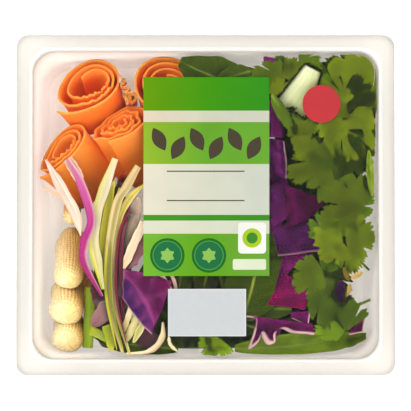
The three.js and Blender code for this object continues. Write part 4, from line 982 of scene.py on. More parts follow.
# ------------------------------------------------------------------ red cabbage
# Cut squares of red cabbage leaf: stiff, waxy, violet to magenta, with raised ribs, and with pale flesh
# showing along the cut edges. One is a ruffled strip of the leaf's frilled edge.
CABBAGE_THICKNESS = 1.0
CABBAGE_SAG = 0.012
CABBAGE_POINTS = 1.6  # points a millimetre
RIM_POINTS = 90  # more for a rim that winds
CUT_EDGE = "#a88684"
BEAD_COLOUR = "#ac8c84"
BEAD_RADIUS = 1.1
BEAD_CEILING = 45.5
CABBAGE_PIECES = {  # corners clockwise from the far left, and a ridge from one place to another in them
    "cabbage_low_strip": dict(
        corners=[(45, -28), (62, -28), (51, -35), (40, -50)], ridge_height=1.5, tint="#3f0732"),
    "cabbage_band": dict(
        corners=[(38, -12), (66, -6), (67, -27), (42, -30)], ridge=(0, 0.2, 1, 0.1), ridge_height=2,
        tint="#2d072c", highlight="#4d1449", pale_edges=(0, 0, 0.25, 0)),
    "cabbage_tall_leaf": dict(
        corners=[(31, 38), (46, 37.5), (49, -6), (31, -18)], ridge=(0.75, 0, 0.9, 1), ridge_height=4,
        bulge=1, tint="#360834", creases=2.2, highlight="#571550", pale_edges=(0, 0.8, 0, 0),
        pale_span=(0, 0.5)),
    "cabbage_upper_strip": dict(
        corners=[(31, 61), (40.5, 61), (45, 39.5), (31, 39.5)], ridge=(0.6, 0, 0.6, 1), ridge_height=2.5,
        tint="#38042d", highlight="#570e4c"),
    "cabbage_fold": dict(
        corners=[(46, 12), (70, 2.5), (60, -8.5), (47, -13)], ridge=(0.1, 0, 0.5, 1), ridge_height=5,
        ridge_width=0.3, tint="#230218", creases=2.4, highlight="#4b0639"),
    "cabbage_square": dict(
        corners=[(45, -40), (62, -47), (57, -61), (36, -57.5)], ridge=(0.1, 0.7, 1, 0.3), ridge_height=3,
        tint="#4d032d", highlight="#6a063d"),
    "cabbage_small": dict(
        corners=[(48.5, -62), (61, -62), (59.5, -70), (50, -66)], ridge=(0, 1, 1, 1), ridge_height=2,
        tint="#450937", pale_edges=(0, 0.8, 0.6, 0), pale_width=0.8),
    "cabbage_ruffle": dict(
        corners=[(24, -64), (62, -69), (63, -76), (25, -81.5)], slope=2, ridge=(0, 0, 1, 0.2),
        ridge_height=2, tint="#38062b", pale_edges=(0, 0, 1, 0), pale_width=2.4,
        rim=[(24, -64.5), (29.8, -66), (28.6, -74.3), (25.7, -83), (29.6, -80), (32.4, -74.5),
             (36, -80), (39.4, -80), (39.4, -74.6), (44.8, -71.4), (50.6, -73.7), (58.8, -74.3),
             (63, -75)]),
    "cabbage_corner": dict(
        corners=[(84, -66), (93, -63.5), (92, -74), (83.5, -75)], ridge=(1, 0, 0, 1), ridge_height=4,
        tint="#2c041f", pale_edges=(1, 1, 1, 0), pale_width=0.9),
    "cabbage_top_bit": dict(
        corners=[(33.5, 87), (41, 85.5), (40.5, 82), (34, 82.5)], ridge_height=1, tint="#4d1440"),
    "cabbage_big": dict(
        corners=[(-47.4, -37.6), (-20, -45), (-31, -75), (-48.6, -53.6)], ridge=(0.04, 0.2, 0.95, 0.8),
        ridge_height=5, ridge_width=0.2, slope=1, bulge=1.6, tint="#4a0836", below="#240c3c",
        highlight="#7c3064", creases=0.5, pale_edges=(0, 0, 0.5, 0.2), pale_width=0.8),
}

# Red cabbage leaf: a waxy bloom in patches that turns the violet bluish, satin, with faint veins.
BLOOM_PATCH = 8.3
CABBAGE_VEIN_SPACING = 4.2
waxy_cabbage = new_material("waxy_red_cabbage")
tree = waxy_cabbage.node_tree
tint = add_node(tree, "ShaderNodeAttribute", attribute_name="Tint")
place = add_node(tree, "ShaderNodeTexCoord")
bloom = add_node(
    tree, "ShaderNodeTexNoise",
    {"Vector": place.outputs["Object"], "Scale": 1 / (BLOOM_PATCH * MM), "Detail": 3.0})
bloom_value = add_node(
    tree, "ShaderNodeMapRange",
    {"Value": bloom.outputs["Fac"], "From Min": 0.3, "From Max": 0.7, "To Min": 0.82, "To Max": 1.2})
bloom_hue = add_node(
    tree, "ShaderNodeMapRange",
    {"Value": bloom.outputs["Fac"], "From Min": 0.3, "From Max": 0.7, "To Min": 0.485, "To Max": 0.515})
flesh = add_node(
    tree, "ShaderNodeHueSaturation",
    {"Color": tint.outputs["Color"], "Value": bloom_value.outputs["Result"],
     "Hue": bloom_hue.outputs["Result"]})
veins = add_node(
    tree, "ShaderNodeTexVoronoi",
    {"Vector": place.outputs["Object"], "Scale": 1 / (CABBAGE_VEIN_SPACING * MM)},
    feature="DISTANCE_TO_EDGE")
relief = add_node(
    tree, "ShaderNodeBump", {"Height": veins.outputs["Distance"], "Strength": 0.1, "Distance": 0.001})
skin = add_node(tree, "ShaderNodeBsdfPrincipled", {
    "Base Color": flesh.outputs["Color"], "Roughness": 0.36, "IOR": 1.42, "Specular IOR Level": 0.03,
    "Normal": relief.outputs["Normal"]})
add_node(tree, "ShaderNodeOutputMaterial", {"Surface": skin.outputs["BSDF"]})


def cabbage_piece(skin, corners, tint, ridge=(0, 0.5, 1, 0.5), ridge_height=3.0, ridge_width=0.25, slope=0.0,
                  bulge=0.0, creases=1.2, highlight="#561044", below=None, rim=None, pale_edges=(0, 0, 0, 0),
                  pale_span=(0, 1), pale_width=1.1):
    """Adds one cut piece over four corners in plan to the skin, and lays it on the pile."""
    a, b, c, d = (np.array(corner, float) for corner in corners)
    length = max(np.linalg.norm(b - a), np.linalg.norm(c - d))
    height = max(np.linalg.norm(d - a), np.linalg.norm(c - b))
    u = np.linspace(0, 1, int(length * CABBAGE_POINTS) + (RIM_POINTS if rim else 12))[:, None, None]
    v = np.linspace(0, 1, int(height * CABBAGE_POINTS) + 12)[None, :, None]
    far_side = d * (1 - u) + c * u
    if rim:
        far_side = smooth_path(rim, len(u))[0][:, None, :]
    plan = (a * (1 - u) + b * u) * (1 - v) + far_side * v
    down = (d - a) / np.linalg.norm(d - a)
    ahead = (b - a) / np.linalg.norm(b - a)
    plan = plan + down * bulge * np.sin(math.pi * u) * (2 * v - 1)
    cut_seed = int(a[0] * 3 + 200)
    uneven_u = ripple(u * length, v * 0, 15, cut_seed) + 0.3 * ripple(u * length, v * 0, 5, cut_seed)
    uneven_v = ripple(v * height, u * 0, 15, cut_seed + 1)
    plan = plan + down * (0 if rim else 0.4) * uneven_u * (2 * v - 1) + ahead * 0.4 * uneven_v * (2 * u - 1)
    px, py = plan[..., 0], plan[..., 1]
    start = np.array(ridge[:2])
    way = np.array(ridge[2:]) - start
    spot = np.stack(np.broadcast_arrays(u[..., 0], v[..., 0]), axis=-1) - start
    on_line = np.clip(spot @ way / (way @ way), 0, 1)
    away = np.linalg.norm(spot - on_line[..., None] * way, axis=-1)
    away = away + 0.03 * ripple(px, py, 10, cut_seed + 5)
    crest = np.exp(-((away / ridge_width) ** 2))
    sharp_crest = np.exp(-(np.abs(away / (0.16 * ridge_width)) ** 1.5))
    crumple = 1 - np.abs(ripple(px, py, 17, cut_seed + 2)) + 0.35 * ripple(px, py, 6, cut_seed + 3)
    cover = lay_over(CABBAGE_SAG)
    level = height_at(cover, px, py) + 1.0 + ridge_height * (0.8 * crest + 0.2 * sharp_crest)
    level = level + slope * v[..., 0] + creases * crumple + (4 * v[..., 0] ** 3 if rim else 0)
    px, py, level = kept_in(px, py, level)
    z = pressed(level)
    points, faces = thin_sheet(np.stack([px, py, z], axis=-1)[:, ::-1], CABBAGE_THICKNESS)
    edges = [v[..., 0] * height, (1 - u[..., 0]) * length, (1 - v[..., 0]) * height, u[..., 0] * length]
    along_edge = u[..., 0] if pale_edges[0] or pale_edges[2] else v[..., 0]
    in_span = (along_edge >= pale_span[0]) & (along_edge <= pale_span[1])
    pale = np.zeros_like(px)
    for strength, distance in zip(pale_edges, edges):
        pale = np.maximum(pale, strength * np.clip(1.6 - distance / pale_width * 1.2, 0, 1) * in_span)
    # painted highlight on the ridge's crest and the tops of the crumples, over the ribs' own paler colour
    rib_and_highlight = np.clip(0.6 * sharp_crest + 0.35 * crest + 0.5 * np.clip(crumple, 0, 1) ** 3, 0, 1)
    past = spot @ np.array([-way[1], way[0]]) / np.linalg.norm(way)  # how far beyond the ridge
    body = blend_colours([tint, below or tint], 0.5 + 8 * past)
    colours = body + (linear(highlight) - body) * 0.7 * rib_and_highlight[..., None]
    dark = np.clip(1.15 - 0.5 * np.clip(np.abs(ripple(px, py, 19, cut_seed + 6)) - 0.4, 0, 1), 0, 1.1)
    colours = colours * dark[..., None]
    colours = colours * (1 - pale[..., None]) + linear(CUT_EDGE) * pale[..., None]
    stamp(px, py, level)
    laid.append((skin, points, faces, colours[:, ::-1], None, px[:, ::-1], py[:, ::-1], level[:, ::-1]))
    if rim:  # the swollen cut edge
        turn = np.linspace(0, 2 * math.pi, 10, endpoint=False)
        round_edge = np.stack([np.cos(turn), 0 * turn, np.sin(turn)], axis=-1)
        round_edge = round_edge + np.cos(turn)[:, None] * np.array([0, 0.5, 0])
        middle = np.stack([px[:, -1], py[:, -1], np.minimum(z[:, -1], BEAD_CEILING)], axis=-1)
        bead = middle[:, None] + BEAD_RADIUS * round_edge
        skin.add(bead, loft(bead), linear(BEAD_COLOUR))


cabbage_skins = {name: Skin() for name in CABBAGE_PIECES}
for name, cut in CABBAGE_PIECES.items():
    cabbage_piece(cabbage_skins[name], **cut)
settle(0.1, 0.16)
for name, cabbage_skin in cabbage_skins.items():
    cabbage = cabbage_skin.build(name + "_leaf", waxy_cabbage)
    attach(cabbage, "root")
    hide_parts(name)

# ------------------------------------------------------------------ pak choi stalk
# The thick white-green foot of a pak choi leaf, ribbed along its length and hollow on top. It was cut
# square from its root at the far end, and it lies over the leaves of the top right corner.
PAK_CHOI_FOOT = dict(
    start=(62.6, 79.6, 42.2), end=(49.8, 55.2, 35.4), width=10.6, depth=6.4, flare=2.0, hollow=0.35, bow=1.4)
PAK_CHOI_COLOURS = ["#cfd2aa", "#bcc08c", "#8a9548"]
PAK_CHOI_GRAIN = (27, 3)
LID_ROOM = 0.4  # between the foot and the leaves under it

rings, angle, share = stalk(**PAK_CHOI_FOOT)
stalk_skin = Skin()
grain = np.stack([share, angle], axis=-1) * PAK_CHOI_GRAIN
shade = 0.5 + 0.35 * np.cos(angle) + 0.3 * (share - 0.5)
stalk_skin.add(rings, loft(rings), blend_colours(PAK_CHOI_COLOURS, shade).reshape(-1, 3), grain)
pak_choi = stalk_skin.build("pak_choi_foot", tender_stalk)
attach(pak_choi, "root")
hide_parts("pak_choi_stalk")

lid = np.full(PILE_SHAPE, float(FOOD_CEILING))  # the lowest face of what already lies over the next pieces
np.minimum.at(lid, nearest_cell(rings[..., 0], rings[..., 1]), rings[..., 2] - LID_ROOM)

# ------------------------------------------------------------------ coriander
# Flat coriander leaves on thin stems cover the right side. Each leaf has three main lobes, cut again and
# edged with blunt teeth, and faint veins that fan from the stem. A strip of pak choi leaf lies among them.
CORIANDER_THICKNESS = 0.4
CORIANDER_SAG = 0.02
CORIANDER_SPREAD = 82  # degrees on each side of the middle lobe
SLITS = [(-60, 0.2), (-30, 0.5), (-11, 0.12), (9, 0.12), (31, 0.5), (58, 0.2)]  # degrees, share of the leaf
SLIT_WIDTH = 0.05
VEIN_SPREAD = 21  # degrees from one vein to the next
VEIN_COLOUR = "#8a9a40"
TOOTH_WIDTH = 2.2
TOOTH_DEPTH = 1.7
CORIANDER_LEAVES = [  # each from the top of its stem, and how wide it is for its length
    dict(x=84, y=42, heading=350, length=18, width=0.9, tint="#1f2c03"),
    dict(x=82, y=28, heading=20, length=20, width=0.8, tint="#1e2b02"),
    dict(x=84, y=30, heading=250, length=14, width=0.9, tint="#182301"),
    dict(x=84, y=78, heading=150, length=16, width=0.9, tint="#293401"),
    dict(x=74, y=62, heading=122, length=22, width=0.8, tint="#1c2801"),
    dict(x=62, y=66, heading=25, length=15, width=0.8, tint="#344803"),
    dict(x=47, y=73, heading=72, length=15, width=0.8, tint="#444f06"),
    dict(x=54, y=82, heading=12, length=15, width=0.7, tint="#354503"),
    dict(x=44, y=74, heading=163, length=19, width=0.6, tint="#344203"),
    dict(x=42, y=63, heading=84, length=12, width=0.7, tint="#4d5506"),
    dict(x=91, y=50, heading=96, length=42, width=0.78, tint="#4c5806", fold=0.2),
    # painted shade: this very dark leaf lies over the lower part of the leaf before it and stands in for a
    # shaded hollow
    dict(x=76, y=46, heading=56, length=33, width=0.8, tint="#121b01"),
    dict(x=88, y=52, heading=48, length=22, width=0.5, tint="#2c3c03"),
    dict(x=56, y=40, heading=100, length=10, width=1.15, tint="#404b04"),
    dict(x=55, y=41, heading=275, length=15, width=0.5, tint="#3f4904"),
    dict(x=64, y=34, heading=318, length=22, width=0.6, tint="#2a3703"),
    dict(x=72, y=26, heading=203, length=26, width=0.75, tint="#3b4704"),
    dict(x=80, y=58, heading=279, length=35, width=0.62, tint="#4c5806"),
    dict(x=80, y=57, heading=232, length=23.5, width=0.66, tint="#505c08"),
    dict(x=81, y=56, heading=331, length=20, width=0.66, tint="#525e08"),
    dict(x=82, y=56, heading=80, length=9.5, width=0.6, tint="#4c5809"),
    dict(x=93, y=-8, heading=182, length=22, width=0.75, tint="#344203"),
    dict(x=92, y=-2, heading=152, length=26, width=0.85, tint="#3d4906"),
    dict(x=78, y=-6, heading=205, length=14, width=0.8, tint="#3f4b07"),
    dict(x=82, y=-24, heading=285, length=17, width=0.7, tint="#445106"),
    dict(x=80, y=-22, heading=225, length=17, width=0.75, tint="#4b5507"),
    dict(x=81, y=-19, heading=5, length=18.5, width=1.1, tint="#3f4b06"),
    dict(x=79.6, y=-19, heading=182, length=19, width=0.8, tint="#495507"),
    dict(x=68, y=-38, heading=202, length=21, width=0.68, tint="#3a4707"),
    dict(x=75, y=-58, heading=285, length=15, width=0.8, tint="#1c2802"),
    dict(x=81, y=-73, heading=184, length=20, width=0.4, tint="#455909", spread=70),
    dict(x=80.8, y=-73.5, heading=73, length=20, width=0.9, tint="#2c3b06", spread=44),
    dict(x=71, y=-42, heading=264, length=33, width=0.46, tint="#2f3f09"),
    dict(x=8, y=-77, heading=238, length=16, width=0.9, tint="#566c08"),
]
HIDDEN_LEAVES = 26  # leaves deeper in the heap, of which only lobes show
# painted shade: the deeper leaves are given darker colours than those on top
HIDDEN_SHADED_COLOURS = ["#161f03", "#1f2c05", "#2a3c06", "#384c08"]
LEAF_STRIP = dict(x=38.5, y=64, heading=299, length=25, width=7, tint="#3c5008", cup=1)
LEAF_ON_EDGE = dict(x=97, y=5, heading=95, length=27, width=5, tint="#5c7010", cup=1.5)
BROWN_AND_PURPLE_BITS = [
    dict(x=80, y=-36, heading=290, length=9, width=3, tint="#5a4818"),
    dict(x=84, y=-46, heading=250, length=8, width=3, tint="#8a7038"),
    dict(x=91, y=-39, heading=210, length=8, width=3, tint="#947c44"),
    dict(x=79, y=-44, heading=260, length=11, width=5, tint="#2a0a30"),
    dict(x=76, y=-48, heading=290, length=9, width=4, tint="#1c0822"),
]
LOOSE_STEMS = [
    dict(start=(88, -59, 30), end=(97.2, -55, 27.4)),
    dict(start=(89, -31, 33), end=(96.4, -38, 25)),
    dict(start=(72.5, -28, 44), end=(79, -13, 44.5)),
    dict(start=(70, -42, 44), end=(72, -57, 44.5)),
]
STEM_WIDTH = 1.5
STEM_DEPTH = 1.2
STEM_COLOUR = "#6c7c28"

# Coriander leaf: matt and thin, with veins a shade paler. Its cells are drawn as coarse as they need to be.
HERB_CELL = 2
matt_herb = new_material("matt_herb_leaf")
tree = matt_herb.node_tree
tint = add_node(tree, "ShaderNodeAttribute", attribute_name="Tint")
place = add_node(tree, "ShaderNodeTexCoord")
cells = add_node(
    tree, "ShaderNodeTexNoise",
    {"Vector": place.outputs["Object"], "Scale": 1 / (HERB_CELL * MM), "Detail": 4.0})
cell_value = add_node(
    tree, "ShaderNodeMapRange",
    {"Value": cells.outputs["Fac"], "From Min": 0.3, "From Max": 0.7, "To Min": 0.84, "To Max": 1.16})
flesh = add_node(
    tree, "ShaderNodeHueSaturation",
    {"Color": tint.outputs["Color"], "Value": cell_value.outputs["Result"]})
relief = add_node(
    tree, "ShaderNodeBump", {"Height": cells.outputs["Fac"], "Strength": 0.4, "Distance": 0.0006})
skin = add_node(tree, "ShaderNodeBsdfPrincipled", {
    "Base Color": flesh.outputs["Color"], "Roughness": 0.5, "IOR": 1.4, "Specular IOR Level": 0.04,
    "Normal": relief.outputs["Normal"]})
add_node(tree, "ShaderNodeOutputMaterial", {"Surface": skin.outputs["BSDF"]})


def coriander_leaf(x, y, heading, length, width, tint, fold=0.0, spread=CORIANDER_SPREAD, lift=2.4, rows=12):
    """Adds one leaf, from the top of its stem at (x, y), to the herb and lays it on the pile."""
    seed = int(abs(x * 17 + y * 5 + heading))
    draw = np.random.default_rng(seed)
    reach_round = math.radians(spread)
    teeth = round(2 * reach_round * length * 0.8 / TOOTH_WIDTH)
    ray = np.linspace(-1, 1, 4 * teeth + 1)[:, None] * reach_round
    v = np.linspace(0.02, 1, rows)[None, :] ** 0.8
    warped = ray + 0.08 * np.sin(2.3 * ray + draw.uniform(0, 6))
    outline = 1 - 0.24 * (np.abs(ray) / math.radians(CORIANDER_SPREAD)) ** 2
    for place, depth in SLITS:
        slit = math.radians(place + draw.uniform(-4, 4))
        outline = outline * (1 - depth * np.exp(-(np.abs(warped - slit) / SLIT_WIDTH) ** 1.3))
    outline = outline * (1 + 0.05 * np.sin(4 * warped + draw.uniform(0, 6)))
    tooth = 1 - np.abs(2 * ((teeth * (ray / reach_round + 1) / 2) % 1) - 1) ** 1.2
    outline = outline * (1 - TOOTH_DEPTH / length * (1 - tooth) * (1 + 0.4 * np.sin(7 * ray + seed)))
    reach = v * length * outline
    angle = math.radians(heading)
    forward = reach * np.cos(ray)
    side = reach * np.sin(ray) * width
    bow = draw.uniform(-0.1, 0.1) * side ** 2 / length + draw.uniform(-0.12, 0.12) * forward ** 2 / length
    px = x + math.cos(angle) * forward - math.sin(angle) * (side + bow)
    py = y + math.sin(angle) * forward + math.cos(angle) * (side + bow)
    vein_place = (warped / math.radians(VEIN_SPREAD) + 0.5) % 1 - 0.5
    vein = np.exp(-(vein_place / (0.035 / (v + 0.15))) ** 2)
    quilt = 0.06 * (1 - vein) * np.clip(2 * v, 0, 1)
    flutter = draw.uniform(0.8, 2.6) * v ** 2 * (1 + np.sin(2.2 * ray + draw.uniform(0, 6))) * 0.5
    curl = draw.uniform(-1.2, 1.2) * v ** 4 * (1 + np.sin(5 * ray + draw.uniform(0, 6))) * 0.5
    cover = lay_over(CORIANDER_SAG)
    height = height_at(cover, px, py) + lift + quilt + flutter + curl + fold * np.abs(side)
    height = height + 0.6 * (1 + ripple(px, py, 13, seed))
    px, py, height = kept_in(px, py, height)
    z = np.minimum(pressed(height), height_at(lid, px, py))
    points, faces = thin_sheet(np.stack([px, py, z], axis=-1)[:, ::-1], CORIANDER_THICKNESS)
    colours = blend_colours([tint, VEIN_COLOUR], np.clip(0.12 * vein * (1.15 - v), 0, 1))
    shade = 0.88 + 0.2 * v ** 2 + 0.14 * ripple(px, py, 12, seed + 1) + 0.1 * np.sin(ray * 2 + seed)
    shade = shade * draw.uniform(0.85, 1.25) + 0.3 * np.clip(v * 12 - 11, 0, 1)
    colours = (colours * shade[..., None])[:, ::-1]
    height = unpressed(z)
    stamp(px, py, height)
    laid.append((herb_skin, points, faces, colours, None, px[:, ::-1], py[:, ::-1], height[:, ::-1]))


herb_skin = Skin()
scrap_skin = Skin()
draw = np.random.default_rng(41)
for _ in range(HIDDEN_LEAVES):
    y = draw.uniform(-70, 82)
    x = draw.uniform(46 if y > 52 else 62, 90 if y > -36 else 76)
    coriander_leaf(
        x, y, draw.uniform(0, 360), draw.uniform(12, 20), draw.uniform(0.6, 0.9),
        draw.choice(HIDDEN_SHADED_COLOURS), lift=0.7, rows=5)
smooth_leaf(scrap_skin, **LEAF_STRIP)
for leaf in CORIANDER_LEAVES:
    coriander_leaf(**leaf)
for bit in BROWN_AND_PURPLE_BITS:
    smooth_leaf(scrap_skin, **bit, cup=0.5, paler=bit["tint"])
for stem in LOOSE_STEMS:
    rings, _, _ = stalk(**stem, width=STEM_WIDTH, depth=STEM_DEPTH)
    rings = rings[::4, ::4]  # a thin stem needs few faces
    scrap_skin.add(rings, loft(rings), linear(STEM_COLOUR))
smooth_leaf(scrap_skin, **LEAF_ON_EDGE)
settle(0.42, 0.5, times=6)
for name, skin in (("coriander_leaves", herb_skin), ("coriander_stems_and_scraps", scrap_skin)):
    herb = skin.build(name, matt_herb)
    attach(herb, "root")
    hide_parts("coriander_heap")

# ------------------------------------------------------------------ lid film
# One sheet of clear laminated film is heat-sealed to the flange all round, cut flush with its edge, and
# drawn nearly flat, with a faint slackness.
FILM_THICKNESS = 0.1
FILM_EDGE = 0.2
FILM_RINGS = 80
FILM_RING_STEP = 1.215
FILM_SLACK = 0.06
SLACK_LENGTH = 45
film_low, film_high = (np.array(corner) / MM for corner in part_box("lid_film"))

# Clear sealing film: glossy and almost invisible, with a faint haze.
clear_film = new_material("clear_sealing_film")
tree = clear_film.node_tree
gloss = add_node(tree, "ShaderNodeBsdfPrincipled", {
    "Base Color": rgba("#8a8a8a"), "Roughness": 0.12, "IOR": 1.5, "Alpha": 0.012})
add_node(tree, "ShaderNodeOutputMaterial", {"Surface": gloss.outputs["BSDF"]})

film_rings = np.array([pack_outline(FILM_EDGE + FILM_RING_STEP * i, 0) for i in range(FILM_RINGS)])
slack = FILM_SLACK * np.clip(np.linspace(0, 10, FILM_RINGS), 0, 1)[:, None]  # none along the seal
film_middle = (film_low[2] + film_high[2]) / 2
film_x, film_y = film_rings[..., 0], film_rings[..., 1]
film_rings[..., 2] = film_middle + slack * ripple(film_x, film_y, SLACK_LENGTH, 8)
film_under = film_rings[::-1] - (0, 0, FILM_THICKNESS)
film_skin = Skin()
closed = np.concatenate([film_under, film_rings])
film_skin.add(closed, loft(closed))
film = film_skin.build("sealed_clear_film", clear_film)
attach(film, "root")
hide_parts("lid_film")

# ------------------------------------------------------------------ label
# A printed film label in fields of green and cream is stuck on the lid. Leaves, discs, rules and a tag are
# printed over the fields, each layer of ink a little above the one before.
PRINT_STEP = 0.012  # between one layer of print and the next
PRINT_LAYERS = 8
BAND_COLUMNS = 13  # points across a field
LEAF_ROW_COUNT = 6
LEAF_ROW_START = (-27, 35.6)
LEAF_ROW_STEP = 11
LEAF_ROW_ZIGZAG = 2.5
LEAF_PRINT_LENGTH = 15
RULE_HEIGHTS = (19.5, 2.5)
RULE_HALF_LENGTH = 22.5
RULE_HALF_WIDTH = 0.35
ROUND_PRINTS = [(-22.2, -29.3), (1.9, -29.3)]
ROUND_PRINT_RINGS = [(10, "#1c6a26"), (8.6, "#4c9a48"), (8, "#1f7040")]  # radius, colour
PETAL_LENGTH = 9
TAG_BOX = (18.8, -28.2, 35, -10.2)
TAG_CORNER = 2
TAG_MIDDLE = (26.9, -19.2)
TAG_RINGS = [(5.6, "#a9c926"), (3.2, "#3f8a2c")]
PALE_BOX = (15.7, -37.6, 35, -31.4)
PALE_BOX_CORNER = 1
label_low, label_high = (np.array(corner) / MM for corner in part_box("label"))
label_width = label_high[0] - label_low[0]
LABEL_BANDS = [  # height down the label, and colours from left to right
    (19.5, ["#659a00", "#409508", "#309018"]),
    (6.6, ["#e4d4ba", "#cdceb6", "#cdcebc"]),
    (24.4, ["#93b72e", "#66a52c", "#68a732"]),
    (29.5, ["#e4dec8", "#d4d5c0", "#cacfc0"]),
    (3.3, ["#449420", "#3d901e", "#3a8e1e"]),
    (7.6, ["#dcdac4", "#d7dac2", "#d2d6c0"]),
    (24.5, ["#76b632", "#5ea416", "#6fa63a"]),
]

# Printed polypropylene film: satin ink with a faint mottle from what lies under it.
PRINT_MOTTLE = 17
satin_print = new_material("satin_printed_film")
tree = satin_print.node_tree
tint = add_node(tree, "ShaderNodeAttribute", attribute_name="Tint")
place = add_node(tree, "ShaderNodeTexCoord")
mottle = add_node(
    tree, "ShaderNodeTexNoise",
    {"Vector": place.outputs["Object"], "Scale": 1 / (PRINT_MOTTLE * MM), "Detail": 3.0})
mottle_value = add_node(
    tree, "ShaderNodeMapRange",
    {"Value": mottle.outputs["Fac"], "From Min": 0.3, "From Max": 0.7, "To Min": 0.54, "To Max": 0.58})
ink = add_node(
    tree, "ShaderNodeHueSaturation",
    {"Color": tint.outputs["Color"], "Value": mottle_value.outputs["Result"]})
gloss = add_node(tree, "ShaderNodeBsdfPrincipled", {
    "Base Color": ink.outputs["Color"], "Roughness": 0.5, "IOR": 1.49, "Specular IOR Level": 0.05})
add_node(tree, "ShaderNodeOutputMaterial", {"Surface": gloss.outputs["BSDF"]})


def flat_print(skin, outline, z, tint):
    """Adds a flat printed shape, given its outline in plan counter-clockwise."""
    outline = np.asarray(outline, float)
    points = np.column_stack([outline, np.full(len(outline), z)])
    skin.add(points, [np.arange(len(outline))[None, :]], tint)


def disc(x, y, radius, sides=40):
    """The outline of a disc."""
    angle = np.linspace(0, 2 * math.pi, sides, endpoint=False)
    return np.column_stack([x + radius * np.cos(angle), y + radius * np.sin(angle)])


def round_box(x0, y0, x1, y1, radius):
    """The outline of a box with round corners."""
    points = []
    for corner, (x, y) in enumerate([(x1, y1), (x0, y1), (x0, y0), (x1, y0)]):
        centre_x = x + (-radius if x == x1 else radius)
        centre_y = y + (-radius if y == y1 else radius)
        for i in range(7):
            angle = (corner + i / 6) * math.pi / 2
            points.append((centre_x + radius * math.cos(angle), centre_y + radius * math.sin(angle)))
    return points


def leaf_print(x, y, length, turn):
    """The outline of a pointed leaf about (x, y), turned by some degrees."""
    share = np.linspace(0, 1, 12)
    half = 0.26 * length * np.sin(math.pi * share) ** 0.9
    near = np.column_stack([(share - 0.5) * length, -half])
    far = np.column_stack([(0.5 - share) * length, half])[1:-1]
    along, across = np.concatenate([near, far]).T
    cosine, sine = math.cos(math.radians(turn)), math.sin(math.radians(turn))
    return np.column_stack([x + along * cosine - across * sine, y + along * sine + across * cosine])


def label_slab(skin, low, high, tint):
    """Adds the label's own thickness, with square edges."""
    corners = np.array([(high[0], high[1]), (low[0], high[1]), (low[0], low[1]), (high[0], low[1])])
    levels = [low[2], high[2] - PRINT_LAYERS * PRINT_STEP]
    rings = np.array([np.column_stack([corners, np.full(4, z)]) for z in levels])
    skin.add(rings, loft(rings), tint)


label_skin = Skin()
label_slab(label_skin, label_low, label_high, linear("#dcdcc6"))
paper_top = label_high[2] - PRINT_LAYERS * PRINT_STEP
band_top = label_high[1]
for depth, codes in LABEL_BANDS:
    columns = np.linspace(0, 1, BAND_COLUMNS)
    x = label_low[0] + label_width * columns
    lower = band_top - depth
    edges = [np.column_stack([x, np.full(BAND_COLUMNS, y)]) for y in (lower, band_top)]
    points = np.concatenate([edges, np.full((2, BAND_COLUMNS, 1), paper_top + PRINT_STEP)], axis=-1)
    index = np.arange(2 * BAND_COLUMNS).reshape(2, BAND_COLUMNS)
    quads = np.stack([index[0, :-1], index[0, 1:], index[1, 1:], index[1, :-1]], axis=-1)
    colours = blend_colours(codes, np.stack([columns, columns]))
    label_skin.add(points, [quads], colours.reshape(-1, 3))
    band_top = lower
for i in range(LEAF_ROW_COUNT):
    x = LEAF_ROW_START[0] + LEAF_ROW_STEP * i
    y = LEAF_ROW_START[1] + LEAF_ROW_ZIGZAG * (-1) ** i
    leaf = leaf_print(x, y, LEAF_PRINT_LENGTH, 62 if i % 2 else 118)
    flat_print(label_skin, leaf, paper_top + 2 * PRINT_STEP, linear("#4a4232"))
for y in RULE_HEIGHTS:
    low, high = y - RULE_HALF_WIDTH, y + RULE_HALF_WIDTH
    left, right = -RULE_HALF_LENGTH, RULE_HALF_LENGTH
    rule = [(left, low), (right, low), (right, high), (left, high)]
    flat_print(label_skin, rule, paper_top + 2 * PRINT_STEP, linear("#5a5444"))
for x, y in ROUND_PRINTS:
    for layer, (radius, code) in enumerate(ROUND_PRINT_RINGS, start=2):
        flat_print(label_skin, disc(x, y, radius), paper_top + layer * PRINT_STEP, linear(code))
    for i in range(3):
        petal = leaf_print(x, y, PETAL_LENGTH, 60 * i + 30)
        flat_print(label_skin, petal, paper_top + (5 + i) * PRINT_STEP, linear("#8cbf58"))
white_tag = round_box(*TAG_BOX, TAG_CORNER)
flat_print(label_skin, white_tag, paper_top + 2 * PRINT_STEP, linear("#f1f2ea"))
for layer, (radius, code) in enumerate(TAG_RINGS, start=3):
    flat_print(label_skin, disc(*TAG_MIDDLE, radius), paper_top + layer * PRINT_STEP, linear(code))
pale_box = round_box(*PALE_BOX, PALE_BOX_CORNER)
flat_print(label_skin, pale_box, paper_top + 2 * PRINT_STEP, linear("#dfe7c8"))
label = label_skin.build("printed_label", satin_print)
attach(label, "root")
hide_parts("label")

# ------------------------------------------------------------------ date panel
# A plain pale panel of matt white ink is printed on the film below the label, cool and flat, with a fine
# white border.
PANEL_BORDER = 0.7
PANEL_CORNER = 0.3
panel_low, panel_high = (np.array(corner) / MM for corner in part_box("date_label"))

# Matt white ink on film: flat and cool, with a fine speckle.
PANEL_SPECK = 3.3
matt_panel = new_material("matt_date_panel")
tree = matt_panel.node_tree
tint = add_node(tree, "ShaderNodeAttribute", attribute_name="Tint")
place = add_node(tree, "ShaderNodeTexCoord")
speck = add_node(
    tree, "ShaderNodeTexNoise",
    {"Vector": place.outputs["Object"], "Scale": 1 / (PANEL_SPECK * MM), "Detail": 2.0})
speck_value = add_node(
    tree, "ShaderNodeMapRange",
    {"Value": speck.outputs["Fac"], "From Min": 0.3, "From Max": 0.7, "To Min": 0.485, "To Max": 0.5})
ink = add_node(
    tree, "ShaderNodeHueSaturation",
    {"Color": tint.outputs["Color"], "Value": speck_value.outputs["Result"]})
gloss = add_node(tree, "ShaderNodeBsdfPrincipled", {
    "Base Color": ink.outputs["Color"], "Roughness": 0.6, "IOR": 1.49, "Specular IOR Level": 0.1})
add_node(tree, "ShaderNodeOutputMaterial", {"Surface": gloss.outputs["BSDF"]})

